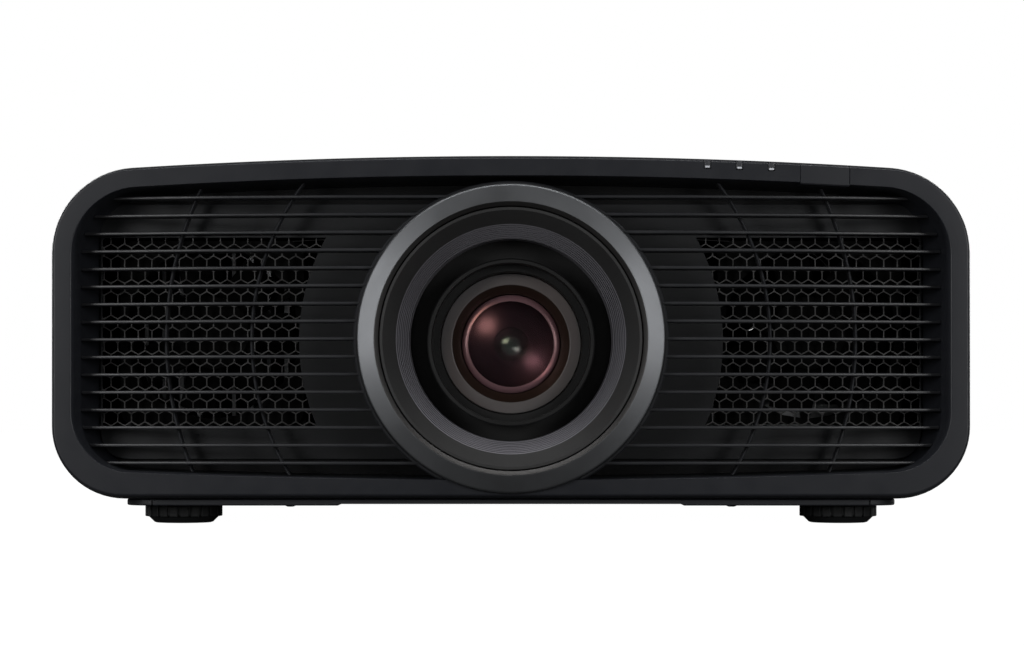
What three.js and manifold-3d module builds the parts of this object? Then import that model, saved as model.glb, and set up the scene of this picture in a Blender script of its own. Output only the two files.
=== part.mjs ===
// Home projector: moulded shells on a sheet-metal chassis, with a shifting zoom lens,
// a laser light module, an optical block, two exhaust fans and the electronics.
// Millimetres, +Z up. The front faces -Y. The origin lies under the middle of the case,
// on the surface that the feet stand on.

import * as THREE from 'three';
import { mergeVertices } from 'three/addons/utils/BufferGeometryUtils.js';
import Module from 'manifold-3d';

const wasm = await Module();
wasm.setup();

// ---------------------------------------------------------------- driving dimensions

const WIDTH = 450;
const HEIGHT = 181;
const DEPTH = 479;
const GAP = 0.3; // between pieces that touch
const WALL = 3;
const FRONT = -DEPTH / 2;
const REAR = DEPTH / 2;
const FLAT = 1e6; // radius of an edge that is straight

// Outlines seen from the front: side walls, a lower and an upper edge that may be
// long arcs, and round corners.
const CASE = {
  half: WIDTH / 2,
  bottom: 12.9,
  bottomArc: FLAT,
  bottomCorner: 35.5,
  top: HEIGHT,
  topArc: 2981,
  topCorner: 42,
};
const WINDOW_FACE = {
  half: 215,
  bottom: 22.2,
  bottomArc: 4900,
  bottomCorner: 30,
  top: 170.8,
  topArc: 2970,
  topCorner: 34,
};
const WINDOW_THROAT = {
  ...WINDOW_FACE,
  half: 213,
  bottom: 22.8,
  bottomCorner: 28,
  top: 170.2,
  topCorner: 32,
};
const WINDOW_MIDDLE = {
  ...WINDOW_FACE,
  half: 212.4,
  bottom: 23.3,
  bottomCorner: 27,
  top: 169.7,
  topCorner: 31,
};
const WINDOW_BACK = {
  ...WINDOW_FACE,
  half: 205.5,
  bottom: 24,
  bottomCorner: 21,
  top: 169,
  topCorner: 25,
};

const PARTING = 132.8; // height of the seam between lower case and top cover
const BEZEL_FACE = FRONT + 5.5;
const BEZEL_BACK = BEZEL_FACE + 34;
const BEZEL_EDGE = 2.4; // rounding of the front edge
const THROAT_DEPTH = 5;
const MIDDLE_DEPTH = 20;

const RING_Z = 91.1; // axis of the trim ring and the funnel
const LENS_Z = 89.9; // axis of the lens at rest, a little below the ring's
const RING_OUTER = 75.5;
const RING_INNER = 64.4;
const COLLAR_OUTER = 77.3;
const COLLAR_INNER = 75.2;
const THROAT_RADIUS = 50.1;

const SLAT_COUNT = 16;
const SLAT_FIRST_Z = 30.4;
const SLAT_PITCH = 8.69;
const SLAT_THICK = 1.6;
const SLAT_DEPTH = 13;
const STRUT_RADII = [127.8, 170.5];
const STRUT_THICK = 1.2;

const MESH = { outer: 204.2, arc: 106, low: 49, high: 142.5, thick: 1, front: -201.2 };
const BAFFLE_FRONT = BEZEL_BACK + GAP;
const BAFFLE_BACK = BAFFLE_FRONT + 2;

const LIGHT_XS = [95.7, 111.3, 126.9];
const LIGHT_WIDE = 3;
const LIGHT_TALL = 3.8;
const SENSOR = { from: 140.8, to: 165.2, deep: 12 };

const SKIRT = { half: 190.5, bottom: 9.5, length: 452, corner: 18, field: 85, fieldDeep: 0.8 };
const FOOT = { x: 165.5, y: 187, radius: 19.3, height: 9.2, chamfer: 3.8, flutes: 16, fluteDeep: 0.8 };
const STUD = { radius: 4, low: 3.3, high: 29 };
const BOSS = { radius: 10, high: 33 };

const CHASSIS = { x: 188, front: -196, rear: 214, bottom: 18.5, top: 20 };

const BARREL_RADIUS = 41.5;
const SHIELD = { radius: 56, front: -197, back: -195.5 }; // keeps light out round the barrel
const LENS_SIDES = 28; // flats round the barrel and everything seated in it
const GEAR = { teeth: 40, module: 2.4, inner: 42.2 };
const PINION = { teeth: 10, bore: 2.3 };
const FOCUS = { front: -185, back: -175, angle: 54 };
const ZOOM = { front: -161, back: -151, angle: 126 };
const MOTOR_RADIUS = 9;
const CARRIAGE = { front: -110, back: -102, half: 54 };
const SHIFT_PLATE = { front: -98, back: -90, half: 68 };
const MOUNT = { front: -86, back: -78, half: 80, top: 163 };
const ROD_RADIUS = 3;
const ROD_CLEARANCE = 0.15;

const FAN = { x: 150, z: 95.5, size: 92, front: -197.2, deep: 25, throat: 43.5, blades: 7 };

const BOARD = { front: -58, back: 205, bottom: 142 };
const boardPosts = [[-84, -48], [84, -48], [-84, 195], [84, 195]];

const REAR_PANEL = { front: 231, back: 234 };
const SENSOR_REAR = { x: 160, z: 120 };
const KEYS = {
  names: ['key_power', 'key_input', 'key_menu', 'key_back', 'key_ok'],
  x: -192,
  pitch: 14,
  z: 56,
  radius: 4.5,
};

// ---------------------------------------------------------------- shape helpers

const radians = (degrees) => (degrees * Math.PI) / 180;

/** Points along an arc in a plane, both ends included. */
function arc(cx, cy, radius, fromAngle, toAngle, steps) {
  const points = [];
  for (let i = 0; i <= steps; i += 1) {
    const angle = fromAngle + ((toAngle - fromAngle) * i) / steps;
    points.push(new THREE.Vector2(cx + radius * Math.cos(angle), cy + radius * Math.sin(angle)));
  }
  return points;
}

/** Points round a full circle, the first not repeated. */
const circle = (cx, cy, radius, steps) => arc(cx, cy, radius, 0, 2 * Math.PI, steps).slice(0, -1);

/** A rectangle's corners, or a rounded rectangle's points. */
function rectangle(x0, x1, y0, y1, radius = 0, steps = 3) {
  if (radius === 0) {
    return [[x0, y0], [x1, y0], [x1, y1], [x0, y1]].map(([x, y]) => new THREE.Vector2(x, y));
  }
  const quarter = Math.PI / 2;
  return [
    ...arc(x1 - radius, y0 + radius, radius, -quarter, 0, steps),
    ...arc(x1 - radius, y1 - radius, radius, 0, quarter, steps),
    ...arc(x0 + radius, y1 - radius, radius, quarter, 2 * quarter, steps),
    ...arc(x0 + radius, y0 + radius, radius, 2 * quarter, 3 * quarter, steps),
  ];
}

/** One of the front outlines above, drawn inwards by an inset. */
function outline(spec, inset = 0, cornerSteps = 5, edgeSteps = 3) {
  const quarter = Math.PI / 2;
  const lowX = spec.half - spec.bottomCorner;
  const highX = spec.half - spec.topCorner;
  const lowArm = spec.bottomArc - spec.bottomCorner;
  const highArm = spec.topArc - spec.topCorner;
  const lowCentre = spec.bottom + spec.bottomArc;
  const highCentre = spec.top - spec.topArc;
  const lowTilt = Math.asin(lowX / lowArm);
  const highTilt = Math.asin(highX / highArm);
  const lowZ = lowCentre - Math.sqrt(lowArm ** 2 - lowX ** 2);
  const highZ = highCentre + Math.sqrt(highArm ** 2 - highX ** 2);
  const right = [
    ...arc(0, lowCentre, spec.bottomArc - inset, -quarter, lowTilt - quarter, edgeSteps).slice(0, -1),
    ...arc(lowX, lowZ, spec.bottomCorner - inset, lowTilt - quarter, 0, cornerSteps),
    ...arc(highX, highZ, spec.topCorner - inset, 0, quarter - highTilt, cornerSteps),
    ...arc(0, highCentre, spec.topArc - inset, quarter - highTilt, quarter, edgeSteps).slice(1),
  ];
  const left = right.slice(1, -1).reverse().map((point) => new THREE.Vector2(-point.x, point.y));
  return [...right, ...left];
}

/** Height of an outline's upper edge at a given x, between its corners. */
const crownHeight = (spec, x) => spec.top - spec.topArc + Math.sqrt(spec.topArc ** 2 - x ** 2);

/** A closed triangle mesh as a manifold solid, with its faces turned outwards. */
function solid(geometry) {
  const bare = geometry.clone();
  bare.deleteAttribute('normal');
  bare.deleteAttribute('uv');
  const merged = mergeVertices(bare);
  const vertices = Float32Array.from(merged.attributes.position.array);
  const corners = [];
  const point = (index) => new THREE.Vector3().fromArray(vertices, index * 3);
  let volume = 0;
  for (let i = 0; i < merged.index.count; i += 3) {
    const [a, b, c] = [0, 1, 2].map((step) => merged.index.getX(i + step));
    if (a === b || b === c || c === a) {
      continue;
    }
    corners.push([a, b, c]);
    volume += point(a).dot(point(b).cross(point(c)));
  }
  const triVerts = Uint32Array.from(corners.flatMap((t) => (volume < 0 ? [t[0], t[2], t[1]] : t)));
  return new wasm.Manifold(new wasm.Mesh({ numProp: 3, vertProperties: vertices, triVerts }));
}

/** A manifold solid as a three.js geometry. */
function toGeometry(body) {
  const mesh = body.getMesh();
  const geometry = new THREE.BufferGeometry();
  geometry.setAttribute('position', new THREE.BufferAttribute(mesh.vertProperties, 3));
  geometry.setIndex(new THREE.BufferAttribute(mesh.triVerts, 1));
  geometry.computeVertexNormals();
  return geometry;
}

/** A flat outline pushed along one axis. X and Y outlines are drawn in (y, z) and (x, z). */
function prism(axis, points, from, to, holes = []) {
  const shape = new THREE.Shape(points);
  shape.holes = holes.map((hole) => new THREE.Path(hole));
  const settings = { depth: to - from, bevelEnabled: false, curveSegments: 1 };
  const geometry = new THREE.ExtrudeGeometry(shape, settings);
  if (axis === 'y') {
    geometry.rotateX(Math.PI / 2).translate(0, to, 0);
  } else if (axis === 'x') {
    geometry.rotateX(Math.PI / 2).rotateZ(Math.PI / 2).translate(from, 0, 0);
  } else {
    geometry.translate(0, 0, from);
  }
  return solid(geometry);
}

/** A box between two corners. */
function block(x0, x1, y0, y1, z0, z1) {
  const geometry = new THREE.BoxGeometry(x1 - x0, y1 - y0, z1 - z0);
  return solid(geometry.translate((x0 + x1) / 2, (y0 + y1) / 2, (z0 + z1) / 2));
}

/** A profile of [radius, height] pairs turned about an axis through (a, b). */
function turned(axis, profile, segments, a = 0, b = 0) {
  const closed = profile[0][0] === 0 ? profile : [...profile, profile[0]];
  const points = closed.map(([radius, height]) => new THREE.Vector2(radius, height));
  const geometry = new THREE.LatheGeometry(points, segments);
  if (axis === 'y') {
    geometry.translate(a, 0, b);
  } else if (axis === 'x') {
    geometry.rotateZ(-Math.PI / 2).translate(0, a, b);
  } else {
    geometry.rotateX(Math.PI / 2).translate(a, b, 0);
  }
  return solid(geometry);
}

/** A plain round bar. */
const bar = (axis, radius, from, to, a, b, segments = 10) =>
  turned(axis, [[0, from], [radius, from], [radius, to], [0, to]], segments, a, b);

/** A body that runs through outlines with equal numbers of points, from front to back. */
function loft(sections) {
  const count = sections[0].points.length;
  const positions = sections.flatMap(({ y, points }) => points.flatMap((p) => [p.x, y, p.y]));
  const index = [];
  for (let s = 0; s + 1 < sections.length; s += 1) {
    for (let i = 0; i < count; i += 1) {
      const next = (i + 1) % count;
      const [a, b] = [s * count + i, s * count + next];
      index.push(a, a + count, b, b, a + count, b + count);
    }
  }
  const last = (sections.length - 1) * count;
  for (const [a, b, c] of THREE.ShapeUtils.triangulateShape(sections[0].points, [])) {
    index.push(a, b, c);
  }
  for (const [a, b, c] of THREE.ShapeUtils.triangulateShape(sections.at(-1).points, [])) {
    index.push(last + a, last + c, last + b);
  }
  const geometry = new THREE.BufferGeometry();
  geometry.setAttribute('position', new THREE.Float32BufferAttribute(positions, 3));
  geometry.setIndex(index);
  return solid(geometry);
}

const join = (...bodies) => bodies.flat().reduce((whole, body) => whole.add(body));
const cut = (body, ...tools) => tools.flat().reduce((whole, tool) => whole.subtract(tool), body);

// ---------------------------------------------------------------- finishes

const FINISHES = {
  satinBlack: [0x2c2d31, 0.45, 0.0],
  mattBlack: [0x131416, 0.8, 0.0],
  slatBlack: [0x1c1d20, 0.55, 0.0],
  silver: [0x85888d, 0.35, 0.9],
  rubber: [0x17181b, 0.75, 0.0],
  zinc: [0x9a9da0, 0.4, 0.9],
  aluminium: [0xb4b7ba, 0.35, 0.95],
  anodised: [0x0c0c0d, 0.4, 0.5],
  glass: [0x1a1014, 0.05, 0.1],
  clear: [0xb9bec2, 0.25, 0.0],
  smoked: [0x101114, 0.2, 0.0],
  board: [0x12351f, 0.5, 0.0],
  brass: [0xa58a45, 0.35, 0.9],
  foam: [0x2a2b2c, 0.95, 0.0],
};

const projector = new THREE.Group();

/** Adds one named piece to a group. */
function addPart(name, body, finish, group = projector, position = [0, 0, 0]) {
  const [color, roughness, metalness] = FINISHES[finish];
  const material = new THREE.MeshStandardMaterial({ color, roughness, metalness });
  const mesh = new THREE.Mesh(toGeometry(body), material);
  mesh.name = name;
  mesh.position.set(...position);
  group.add(mesh);
}

// ---------------------------------------------------------------- case shells

const footSpots = [
  ['front_left', -FOOT.x, -FOOT.y],
  ['front_right', FOOT.x, -FOOT.y],
  ['rear_left', -FOOT.x, FOOT.y],
  ['rear_right', FOOT.x, FOOT.y],
];

/** The tube that both shells are cut from, open at the front and the rear. */
function caseTube() {
  const outer = prism('y', outline(CASE), BEZEL_BACK + GAP, REAR);
  const inner = prism('y', outline(CASE, WALL), BEZEL_BACK - 1, REAR + 1);
  return cut(outer, inner);
}

function bottomCase(tube) {
  const lower = cut(tube, block(-WIDTH, WIDTH, FRONT, REAR + 1, PARTING - GAP / 2, HEIGHT + 1));
  const floor = CASE.bottom + WALL - 0.5;
  const bosses = footSpots.map(([, x, y]) => bar('z', BOSS.radius, floor, BOSS.high, x, y, 12));
  const holes = footSpots.map(([, x, y]) => bar('z', STUD.radius + 0.4, 0, HEIGHT, x, y));
  const posts = [-100, 0, 100].flatMap((x) => [-150, 150].map((y) =>
    block(x - 6, x + 6, y - 6, y + 6, floor, CHASSIS.bottom - GAP)));
  return cut(join(lower, bosses, posts), holes);
}

function topCover(tube) {
  const shell = cut(tube, block(-WIDTH, WIDTH, FRONT, REAR + 1, 0, PARTING + GAP / 2));
  const ribs = [-120, 120].map((y) => prism('y', outline(CASE, WALL - 0.5), y - 1, y + 1));
  const clear = prism('y', outline(CASE, WALL + 4), -130, 130);
  const strips = join(ribs).subtract(clear);
  return join(shell, cut(strips, block(-WIDTH, WIDTH, -130, 130, 0, PARTING + 12)));
}

function baseSkirt() {
  const halfLength = SKIRT.length / 2;
  const plan = rectangle(-SKIRT.half, SKIRT.half, -halfLength, halfLength, SKIRT.corner, 4);
  const plate = prism('z', plan, SKIRT.bottom, CASE.bottom - GAP);
  const middle = block(
    -SKIRT.field, SKIRT.field, -halfLength - 1, halfLength + 1,
    SKIRT.bottom - 1, SKIRT.bottom + SKIRT.fieldDeep,
  );
  const holes = footSpots.map(([, x, y]) => bar('z', STUD.radius + 0.6, 0, 20, x, y));
  return cut(plate, middle, holes);
}

// ---------------------------------------------------------------- front

/** The space inside the front window, drawn inwards by an inset. */
function windowSpace(inset = 0) {
  return loft([
    { y: BEZEL_FACE - 4, points: outline(WINDOW_FACE, inset) },
    { y: BEZEL_FACE, points: outline(WINDOW_FACE, inset) },
    { y: BEZEL_FACE + THROAT_DEPTH, points: outline(WINDOW_THROAT, inset) },
    { y: BEZEL_FACE + MIDDLE_DEPTH, points: outline(WINDOW_MIDDLE, inset) },
    { y: BEZEL_BACK + 1, points: outline(WINDOW_BACK, inset) },
  ]);
}

/** The window frame with its rounded front edge, before anything is let into it. */
function bezelFrame() {
  const frame = loft([
    { y: BEZEL_FACE, points: outline(CASE, BEZEL_EDGE) },
    { y: BEZEL_FACE + 0.3 * BEZEL_EDGE, points: outline(CASE, 0.3 * BEZEL_EDGE) },
    { y: BEZEL_FACE + BEZEL_EDGE, points: outline(CASE) },
    { y: BEZEL_BACK, points: outline(CASE) },
  ]);
  return cut(frame, windowSpace());
}

const sensorBlock = (grow) => block(
  SENSOR.from + GAP / 2 - grow, SENSOR.to - GAP / 2 + grow,
  FRONT, BEZEL_FACE + SENSOR.deep + grow,
  PARTING, HEIGHT + 1,
);

const lightHeight = (x) => crownHeight(CASE, x) - 3.3;

function lightPocket(x) {
  const z = lightHeight(x);
  const [wide, tall] = [LIGHT_WIDE / 2 + GAP, LIGHT_TALL / 2 + GAP];
  return block(x - wide, x + wide, FRONT, BEZEL_FACE + 10, z - tall, z + tall);
}

const lightGuide = () => block(
  -LIGHT_WIDE / 2, LIGHT_WIDE / 2,
  BEZEL_FACE - 0.2, BEZEL_FACE + 9,
  -LIGHT_TALL / 2, LIGHT_TALL / 2,
);

/** Plan of one slat on the right: its front edge sweeps back from the lens to the side. */
function slatPlan() {
  const frontEdge = [[20, -230.5], [90, -230], [150, -225.5], [216, -216.5]];
  const backEdge = frontEdge.map(([x, y]) => [x, y + SLAT_DEPTH]).reverse();
  return [...frontEdge, ...backEdge].map(([x, y]) => new THREE.Vector2(x, y));
}

/** One arc strut on the right, concentric with the trim ring. */
function strut(radius) {
  const reach = radians(40);
  const outerArc = arc(0, RING_Z, radius + STRUT_THICK / 2, -reach, reach, 6);
  const innerArc = arc(0, RING_Z, radius - STRUT_THICK / 2, reach, -reach, 6);
  const recess = radius > 150 ? 5 : 0;
  return prism('y', [...outerArc, ...innerArc], -222 + recess, -215 + recess);
}

function frontGrille() {
  const lens = bar('y', COLLAR_INNER + 1, FRONT, 0, 0, RING_Z, 36);
  const slats = Array.from({ length: SLAT_COUNT }, (_, i) => {
    const z = SLAT_FIRST_Z + i * SLAT_PITCH;
    return prism('z', slatPlan(), z - SLAT_THICK / 2, z + SLAT_THICK / 2);
  });
  const rightSide = cut(join(slats, STRUT_RADII.map(strut)), lens);
  const leftSide = rightSide.mirror([1, 0, 0]);
  const ring = [
    [COLLAR_INNER, -230], [COLLAR_OUTER, -230], [COLLAR_OUTER, -206], [COLLAR_INNER, -206],
  ];
  const collar = turned('y', ring, 36, 0, RING_Z);
  return join(rightSide, leftSide, collar).intersect(windowSpace(GAP));
}

/** Outline of the mesh opening on the right: an arc about the lens, straight elsewhere. */
function meshOutline(inset) {
  const radius = MESH.arc + inset;
  const [low, high] = [MESH.low + inset, MESH.high - inset];
  const lowAngle = Math.asin((low - RING_Z) / radius);
  const highAngle = Math.asin((high - RING_Z) / radius);
  return [
    new THREE.Vector2(MESH.outer - inset, low),
    new THREE.Vector2(MESH.outer - inset, high),
    ...arc(0, RING_Z, radius, highAngle, lowAngle, 5),
  ];
}

/** One mesh plate on the right: a rim with level bars. */
function meshPlate() {
  const [from, to] = [MESH.front, MESH.front + MESH.thick];
  const plate = prism('y', meshOutline(GAP), from, to);
  const field = prism('y', meshOutline(3), from - 1, to + 1);
  const rows = 8;
  const pitch = (MESH.high - MESH.low) / rows;
  const barsAcross = Array.from({ length: rows - 1 }, (_, i) => {
    const z = MESH.low + (i + 1) * pitch;
    return block(60, MESH.outer, from - 1, to + 1, z - 1.5, z + 1.5);
  });
  return cut(plate, cut(field, barsAcross));
}

function frontBaffle() {
  const sheet = prism('y', outline(CASE, WALL + GAP), BAFFLE_FRONT, BAFFLE_BACK);
  const padOutline = rectangle(70, 205.2, 32, 160, 16, 3);
  const pad = prism('y', padOutline, MESH.front - 1.3, BAFFLE_FRONT + 0.1).intersect(windowSpace(2 * GAP));
  const pocket = prism('y', meshOutline(0), FRONT, BAFFLE_FRONT);
  const way = prism('y', meshOutline(4), FRONT, 0);
  const sideTools = [pocket, way].flatMap((tool) => [tool, tool.mirror([1, 0, 0])]);
  const flangeRoom = bar('y', 73, FRONT, BAFFLE_FRONT, 0, RING_Z, 28);
  const lensHole = bar('y', THROAT_RADIUS + 3, FRONT, 0, 0, RING_Z, 28);
  return cut(join(sheet, pad, pad.mirror([1, 0, 0])), sideTools, flangeRoom, lensHole);
}

function lensTrimRing() {
  const profile = [
    [RING_INNER, -238], [RING_INNER + 2.1, FRONT], [RING_OUTER - 0.9, -236.9],
    [RING_OUTER, -236], [RING_OUTER, BEZEL_FACE - GAP], [RING_INNER + 2, BEZEL_FACE - GAP],
    [RING_INNER + 2, -223], [RING_INNER, -223],
  ];
  return turned('y', profile, 40, 0, RING_Z);
}

/** The dark cone, the stepped ring behind it, the throat and its fixing flange. */
function lensFunnel() {
  const [coneEnd, throatStart] = [-228, -217];
  const coneRadius = 56.4;
  const stepCount = 2;
  const steps = [];
  for (let i = 0; i < stepCount; i += 1) {
    const radius = THROAT_RADIUS + ((coneRadius - THROAT_RADIUS) * i) / stepCount;
    const y = throatStart + ((coneEnd - throatStart) * (i + 1)) / stepCount;
    steps.push([radius, y], [radius + (coneRadius - THROAT_RADIUS) / stepCount, y]);
  }
  const profile = [
    [62.5, -237.6], [63.9, -237.6], [63.9, -230], [58.6, -226], [58.6, -221], [52.4, -214],
    [52.4, -205], [66, -205], [66, -202.5], [THROAT_RADIUS, -202.5], ...steps,
  ];
  return turned('y', profile, 36, 0, RING_Z);
}

// ---------------------------------------------------------------- feet and chassis

/** A knob whose rim has shallow upright flutes, with a blind hole for its stud. */
function footKnob() {
  const rim = (radius, depth) => Array.from({ length: FOOT.flutes * 2 }, (_, i) => {
    const angle = (i / (FOOT.flutes * 2)) * 2 * Math.PI;
    const reach = i % 2 === 0 ? radius : radius - depth;
    return new THREE.Vector2(reach * Math.cos(angle), reach * Math.sin(angle));
  });
  const fluted = prism('z', rim(FOOT.radius, FOOT.fluteDeep), 0, FOOT.height);
  const envelope = turned('z', [
    [0, 0], [FOOT.radius - FOOT.chamfer, 0], [FOOT.radius, FOOT.chamfer],
    [FOOT.radius, FOOT.height], [0, FOOT.height],
  ], FOOT.flutes * 2);
  const hole = bar('z', STUD.radius + 0.4, STUD.low - GAP, FOOT.height + 1, 0, 0);
  return cut(fluted.intersect(envelope), hole);
}

const footStud = () => bar('z', STUD.radius, STUD.low, STUD.high, 0, 0);

/** The sheet-metal floor, with holes for the foot bosses and posts for the main board. */
function chassisPlate() {
  const plan = rectangle(-CHASSIS.x, CHASSIS.x, CHASSIS.front, CHASSIS.rear, 8, 2);
  const plate = prism('z', plan, CHASSIS.bottom, CHASSIS.top);
  const holes = footSpots.map(([, x, y]) => bar('z', BOSS.radius + 1.5, 0, 60, x, y));
  const posts = boardPosts.map(([x, y]) => bar('z', 3, CHASSIS.top - 0.5, BOARD.bottom - GAP, x, y, 6));
  return join(cut(plate, holes), posts);
}

// ---------------------------------------------------------------- lens and its drives

/** A gear's outline, its teeth drawn as slim wedges. */
function gearOutline(teeth, module, phase) {
  const pitchRadius = (teeth * module) / 2;
  const [tip, root] = [pitchRadius + 0.6 * module, pitchRadius - 0.95 * module];
  const pitchAngle = (2 * Math.PI) / teeth;
  const points = [];
  for (let i = 0; i < teeth; i += 1) {
    const middle = phase + i * pitchAngle;
    const place = (radius, offset) => new THREE.Vector2(
      radius * Math.cos(middle + offset * pitchAngle),
      radius * Math.sin(middle + offset * pitchAngle),
    );
    points.push(place(root, -0.33), place(tip, 0), place(root, 0.33));
  }
  return points;
}

/** A toothed ring that turns on the barrel. */
function gearRing({ front, back }) {
  const teeth = gearOutline(GEAR.teeth, GEAR.module, 0);
  return cut(prism('y', teeth, front, back), bar('y', GEAR.inner, front - 1, back + 1, 0, 0, 24));
}

/** Where a ring's pinion and motor sit, from the lens axis. */
function pinionSpot({ angle }) {
  const distance = (GEAR.module * (GEAR.teeth + PINION.teeth)) / 2 + 0.4;
  return [distance * Math.cos(radians(angle)), distance * Math.sin(radians(angle))];
}

/** A pinion whose tooth gap faces the ring tooth that lies on the line of centres. */
function gearPinion(drive) {
  const facing = radians(drive.angle) + Math.PI;
  const phase = facing + Math.PI / PINION.teeth;
  const body = prism('y', gearOutline(PINION.teeth, GEAR.module, phase), drive.front, drive.back);
  return cut(body, bar('y', PINION.bore, drive.front - 1, drive.back + 1, 0, 0, 10));
}

/** A small geared motor with its shaft through the pinion. */
function driveMotor(drive) {
  const can = bar('y', MOTOR_RADIUS, drive.back + 2, CARRIAGE.front - 2, 0, 0, 12);
  return join(can, bar('y', 1.8, drive.front - 1, drive.back + 3, 0, 0, 8));
}

function lensBarrel() {
  return turned('y', [
    [39, -217.5], [BARREL_RADIUS, -217.5], [BARREL_RADIUS, SHIELD.front],
    [SHIELD.radius, SHIELD.front], [SHIELD.radius, SHIELD.back], [BARREL_RADIUS, SHIELD.back],
    [BARREL_RADIUS, -72], [22, -72], [22, -186],
    [25.2, -186], [25.2, -190], [35.4, -190], [35.4, -207], [39, -207],
  ], LENS_SIDES);
}

const lensFrontRing = () => turned('y', [
  [29.6, -199], [35.1, -199], [35.1, -190.3], [25.2, -190.3], [25.2, -194],
], LENS_SIDES);

const frontLens = () => turned('y', [
  [0, -197], [12, -195.7], [21.6, -192.4], [24.9, -192], [24.9, -186.3], [21, -186.3], [0, -184],
].reverse(), LENS_SIDES);

const innerLens = () => turned('y', [
  [0, -158], [12, -156.5], [21.7, -152], [21.7, -146], [0, -143],
].reverse(), LENS_SIDES);

/** A sliding plate's guide rods: two bars held in the plate that carries it. */
function guideRods(axis, offset, y, reach, centreZ) {
  return [-offset, offset].map((side) => (axis === 'z'
    ? bar('z', ROD_RADIUS, centreZ - reach, centreZ + reach, side, y)
    : bar('x', ROD_RADIUS, -reach, reach, y, centreZ + side)));
}

/** Lugs at both ends of the guide rods, standing forward from the carrying plate. */
function rodLugs(axis, offset, y, reach, centreZ, plateFront) {
  const lugs = [];
  for (const side of [-offset, offset]) {
    for (const end of [-reach, reach]) {
      const [x, z] = axis === 'z' ? [side, centreZ + end] : [end, centreZ + side];
      lugs.push(block(x - 5, x + 5, y - 5, plateFront + 0.5, z - 5, z + 5));
    }
  }
  return lugs;
}

const rodWays = (axis, offset, y, centreZ) => [-offset, offset].map((side) => (axis === 'z'
  ? bar('z', ROD_RADIUS + ROD_CLEARANCE, centreZ - 90, centreZ + 90, side, y)
  : bar('x', ROD_RADIUS + ROD_CLEARANCE, -90, 90, y, centreZ + side)));

/** The fixed wall behind the lens, with the upright guide rods. */
function lensMount() {
  const rodY = (SHIFT_PLATE.front + SHIFT_PLATE.back) / 2;
  const wall = block(-MOUNT.half, MOUNT.half, MOUNT.front, MOUNT.back, CHASSIS.top + GAP, MOUNT.top);
  const foot = block(-MOUNT.half, MOUNT.half, MOUNT.back - 1, MOUNT.back + 6, CHASSIS.top + GAP, 26);
  const rods = guideRods('z', 60, rodY, 66, 92);
  const lugs = rodLugs('z', 60, rodY, 66, 92, MOUNT.front);
  return cut(join(wall, foot, rods, lugs), bar('y', 54, MOUNT.front - 1, MOUNT.back + 1, 0, LENS_Z, 24));
}

/** The plate that rides up and down, with the level guide rods. */
function shiftPlate() {
  const { front, back, half } = SHIFT_PLATE;
  const plate = block(-half, half, front, back, -50, 50);
  const rodY = (CARRIAGE.front + CARRIAGE.back) / 2;
  const rods = guideRods('x', 46, rodY, half - 4, 0);
  const lugs = rodLugs('x', 46, rodY, half - 4, 0, front);
  const tools = [...rodWays('z', 60, (front + back) / 2, 0), bar('y', 48, front - 1, back + 1, 0, 0, 24)];
  return join(cut(join(plate, lugs), tools), rods);
}

/** The carriage that rides sideways and holds the barrel and both motors. */
function lensCarriage() {
  const { front, back, half } = CARRIAGE;
  const plate = block(-half, half, front, back, -53, 53);
  const towers = [FOCUS, ZOOM].map((drive) => {
    const [x, z] = pinionSpot(drive);
    return block(x - 12, x + 12, front - 30, back, z - 14, z + 12);
  });
  const bores = [FOCUS, ZOOM].map((drive) =>
    bar('y', MOTOR_RADIUS + GAP, front - 40, front - 1, ...pinionSpot(drive), 12));
  const barrelHole = bar('y', BARREL_RADIUS + GAP, front - 40, back + 1, 0, 0, LENS_SIDES);
  return cut(join(plate, towers), bores, barrelHole, rodWays('x', 46, (front + back) / 2, 0));
}

// ---------------------------------------------------------------- light, fans, electronics

/** The block that combines the three colours, open at the top and towards the lens. */
function opticalBlock() {
  const shell = block(-62, 62, -66, 60, 48, 134);
  const inside = block(-59, 59, -63, 57, 51, 135);
  const lensHole = bar('y', 45, -70, -60, 0, LENS_Z, 20);
  const lightHole = bar('x', 16, -70, -55, 30, 80, 12);
  const legs = [-50, 50].flatMap((x) => [-50, 44].map((y) =>
    block(x - 6, x + 6, y - 6, y + 6, CHASSIS.top + GAP, 49)));
  return join(cut(shell, inside, lensHole, lightHole), legs);
}

const PRISM = { x: 20, front: -38, back: 2, low: 51.3, high: 116 };
const prismBlock = () => block(-PRISM.x, PRISM.x, PRISM.front, PRISM.back, PRISM.low, PRISM.high);

/** One imaging panel: a thin plate with a bevelled back, standing by a prism face. */
function imagingPanel() {
  const plate = block(-19, 19, 0.8, 4, 58, 112);
  return join(plate, block(-12, 12, 3.5, 9, 66, 104));
}

/** The laser box with its light outlet pointing at the optical block. */
function laserModule() {
  const body = block(-190, -96, -15, 75, 32, 118);
  const nozzle = bar('x', 14, -97, -63, 30, 80, 12);
  const legs = [-180, -106].flatMap((x) => [-5, 65].map((y) =>
    block(x - 5, x + 5, y - 5, y + 5, CHASSIS.top + GAP, 33)));
  return join(body, nozzle, legs);
}

/** Upright fins on a thick base, with two heat pipes soldered in. */
function heatSink() {
  const fins = Array.from({ length: 11 }, (_, i) => {
    const x = -198 + 9 * i;
    return block(x, x + 2, -162, -80, 46, 142);
  });
  const base = block(-200, -104, -162, -80, 40, 47);
  const legs = [-191, -113].map((x) => block(x - 5, x + 5, -155, -87, CHASSIS.top + GAP, 41));
  const pipes = [-168, -136].map((x) => bar('y', 4, -81, -15 - GAP, x, 43.5, 8));
  return join(base, fins, legs, pipes);
}

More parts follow.
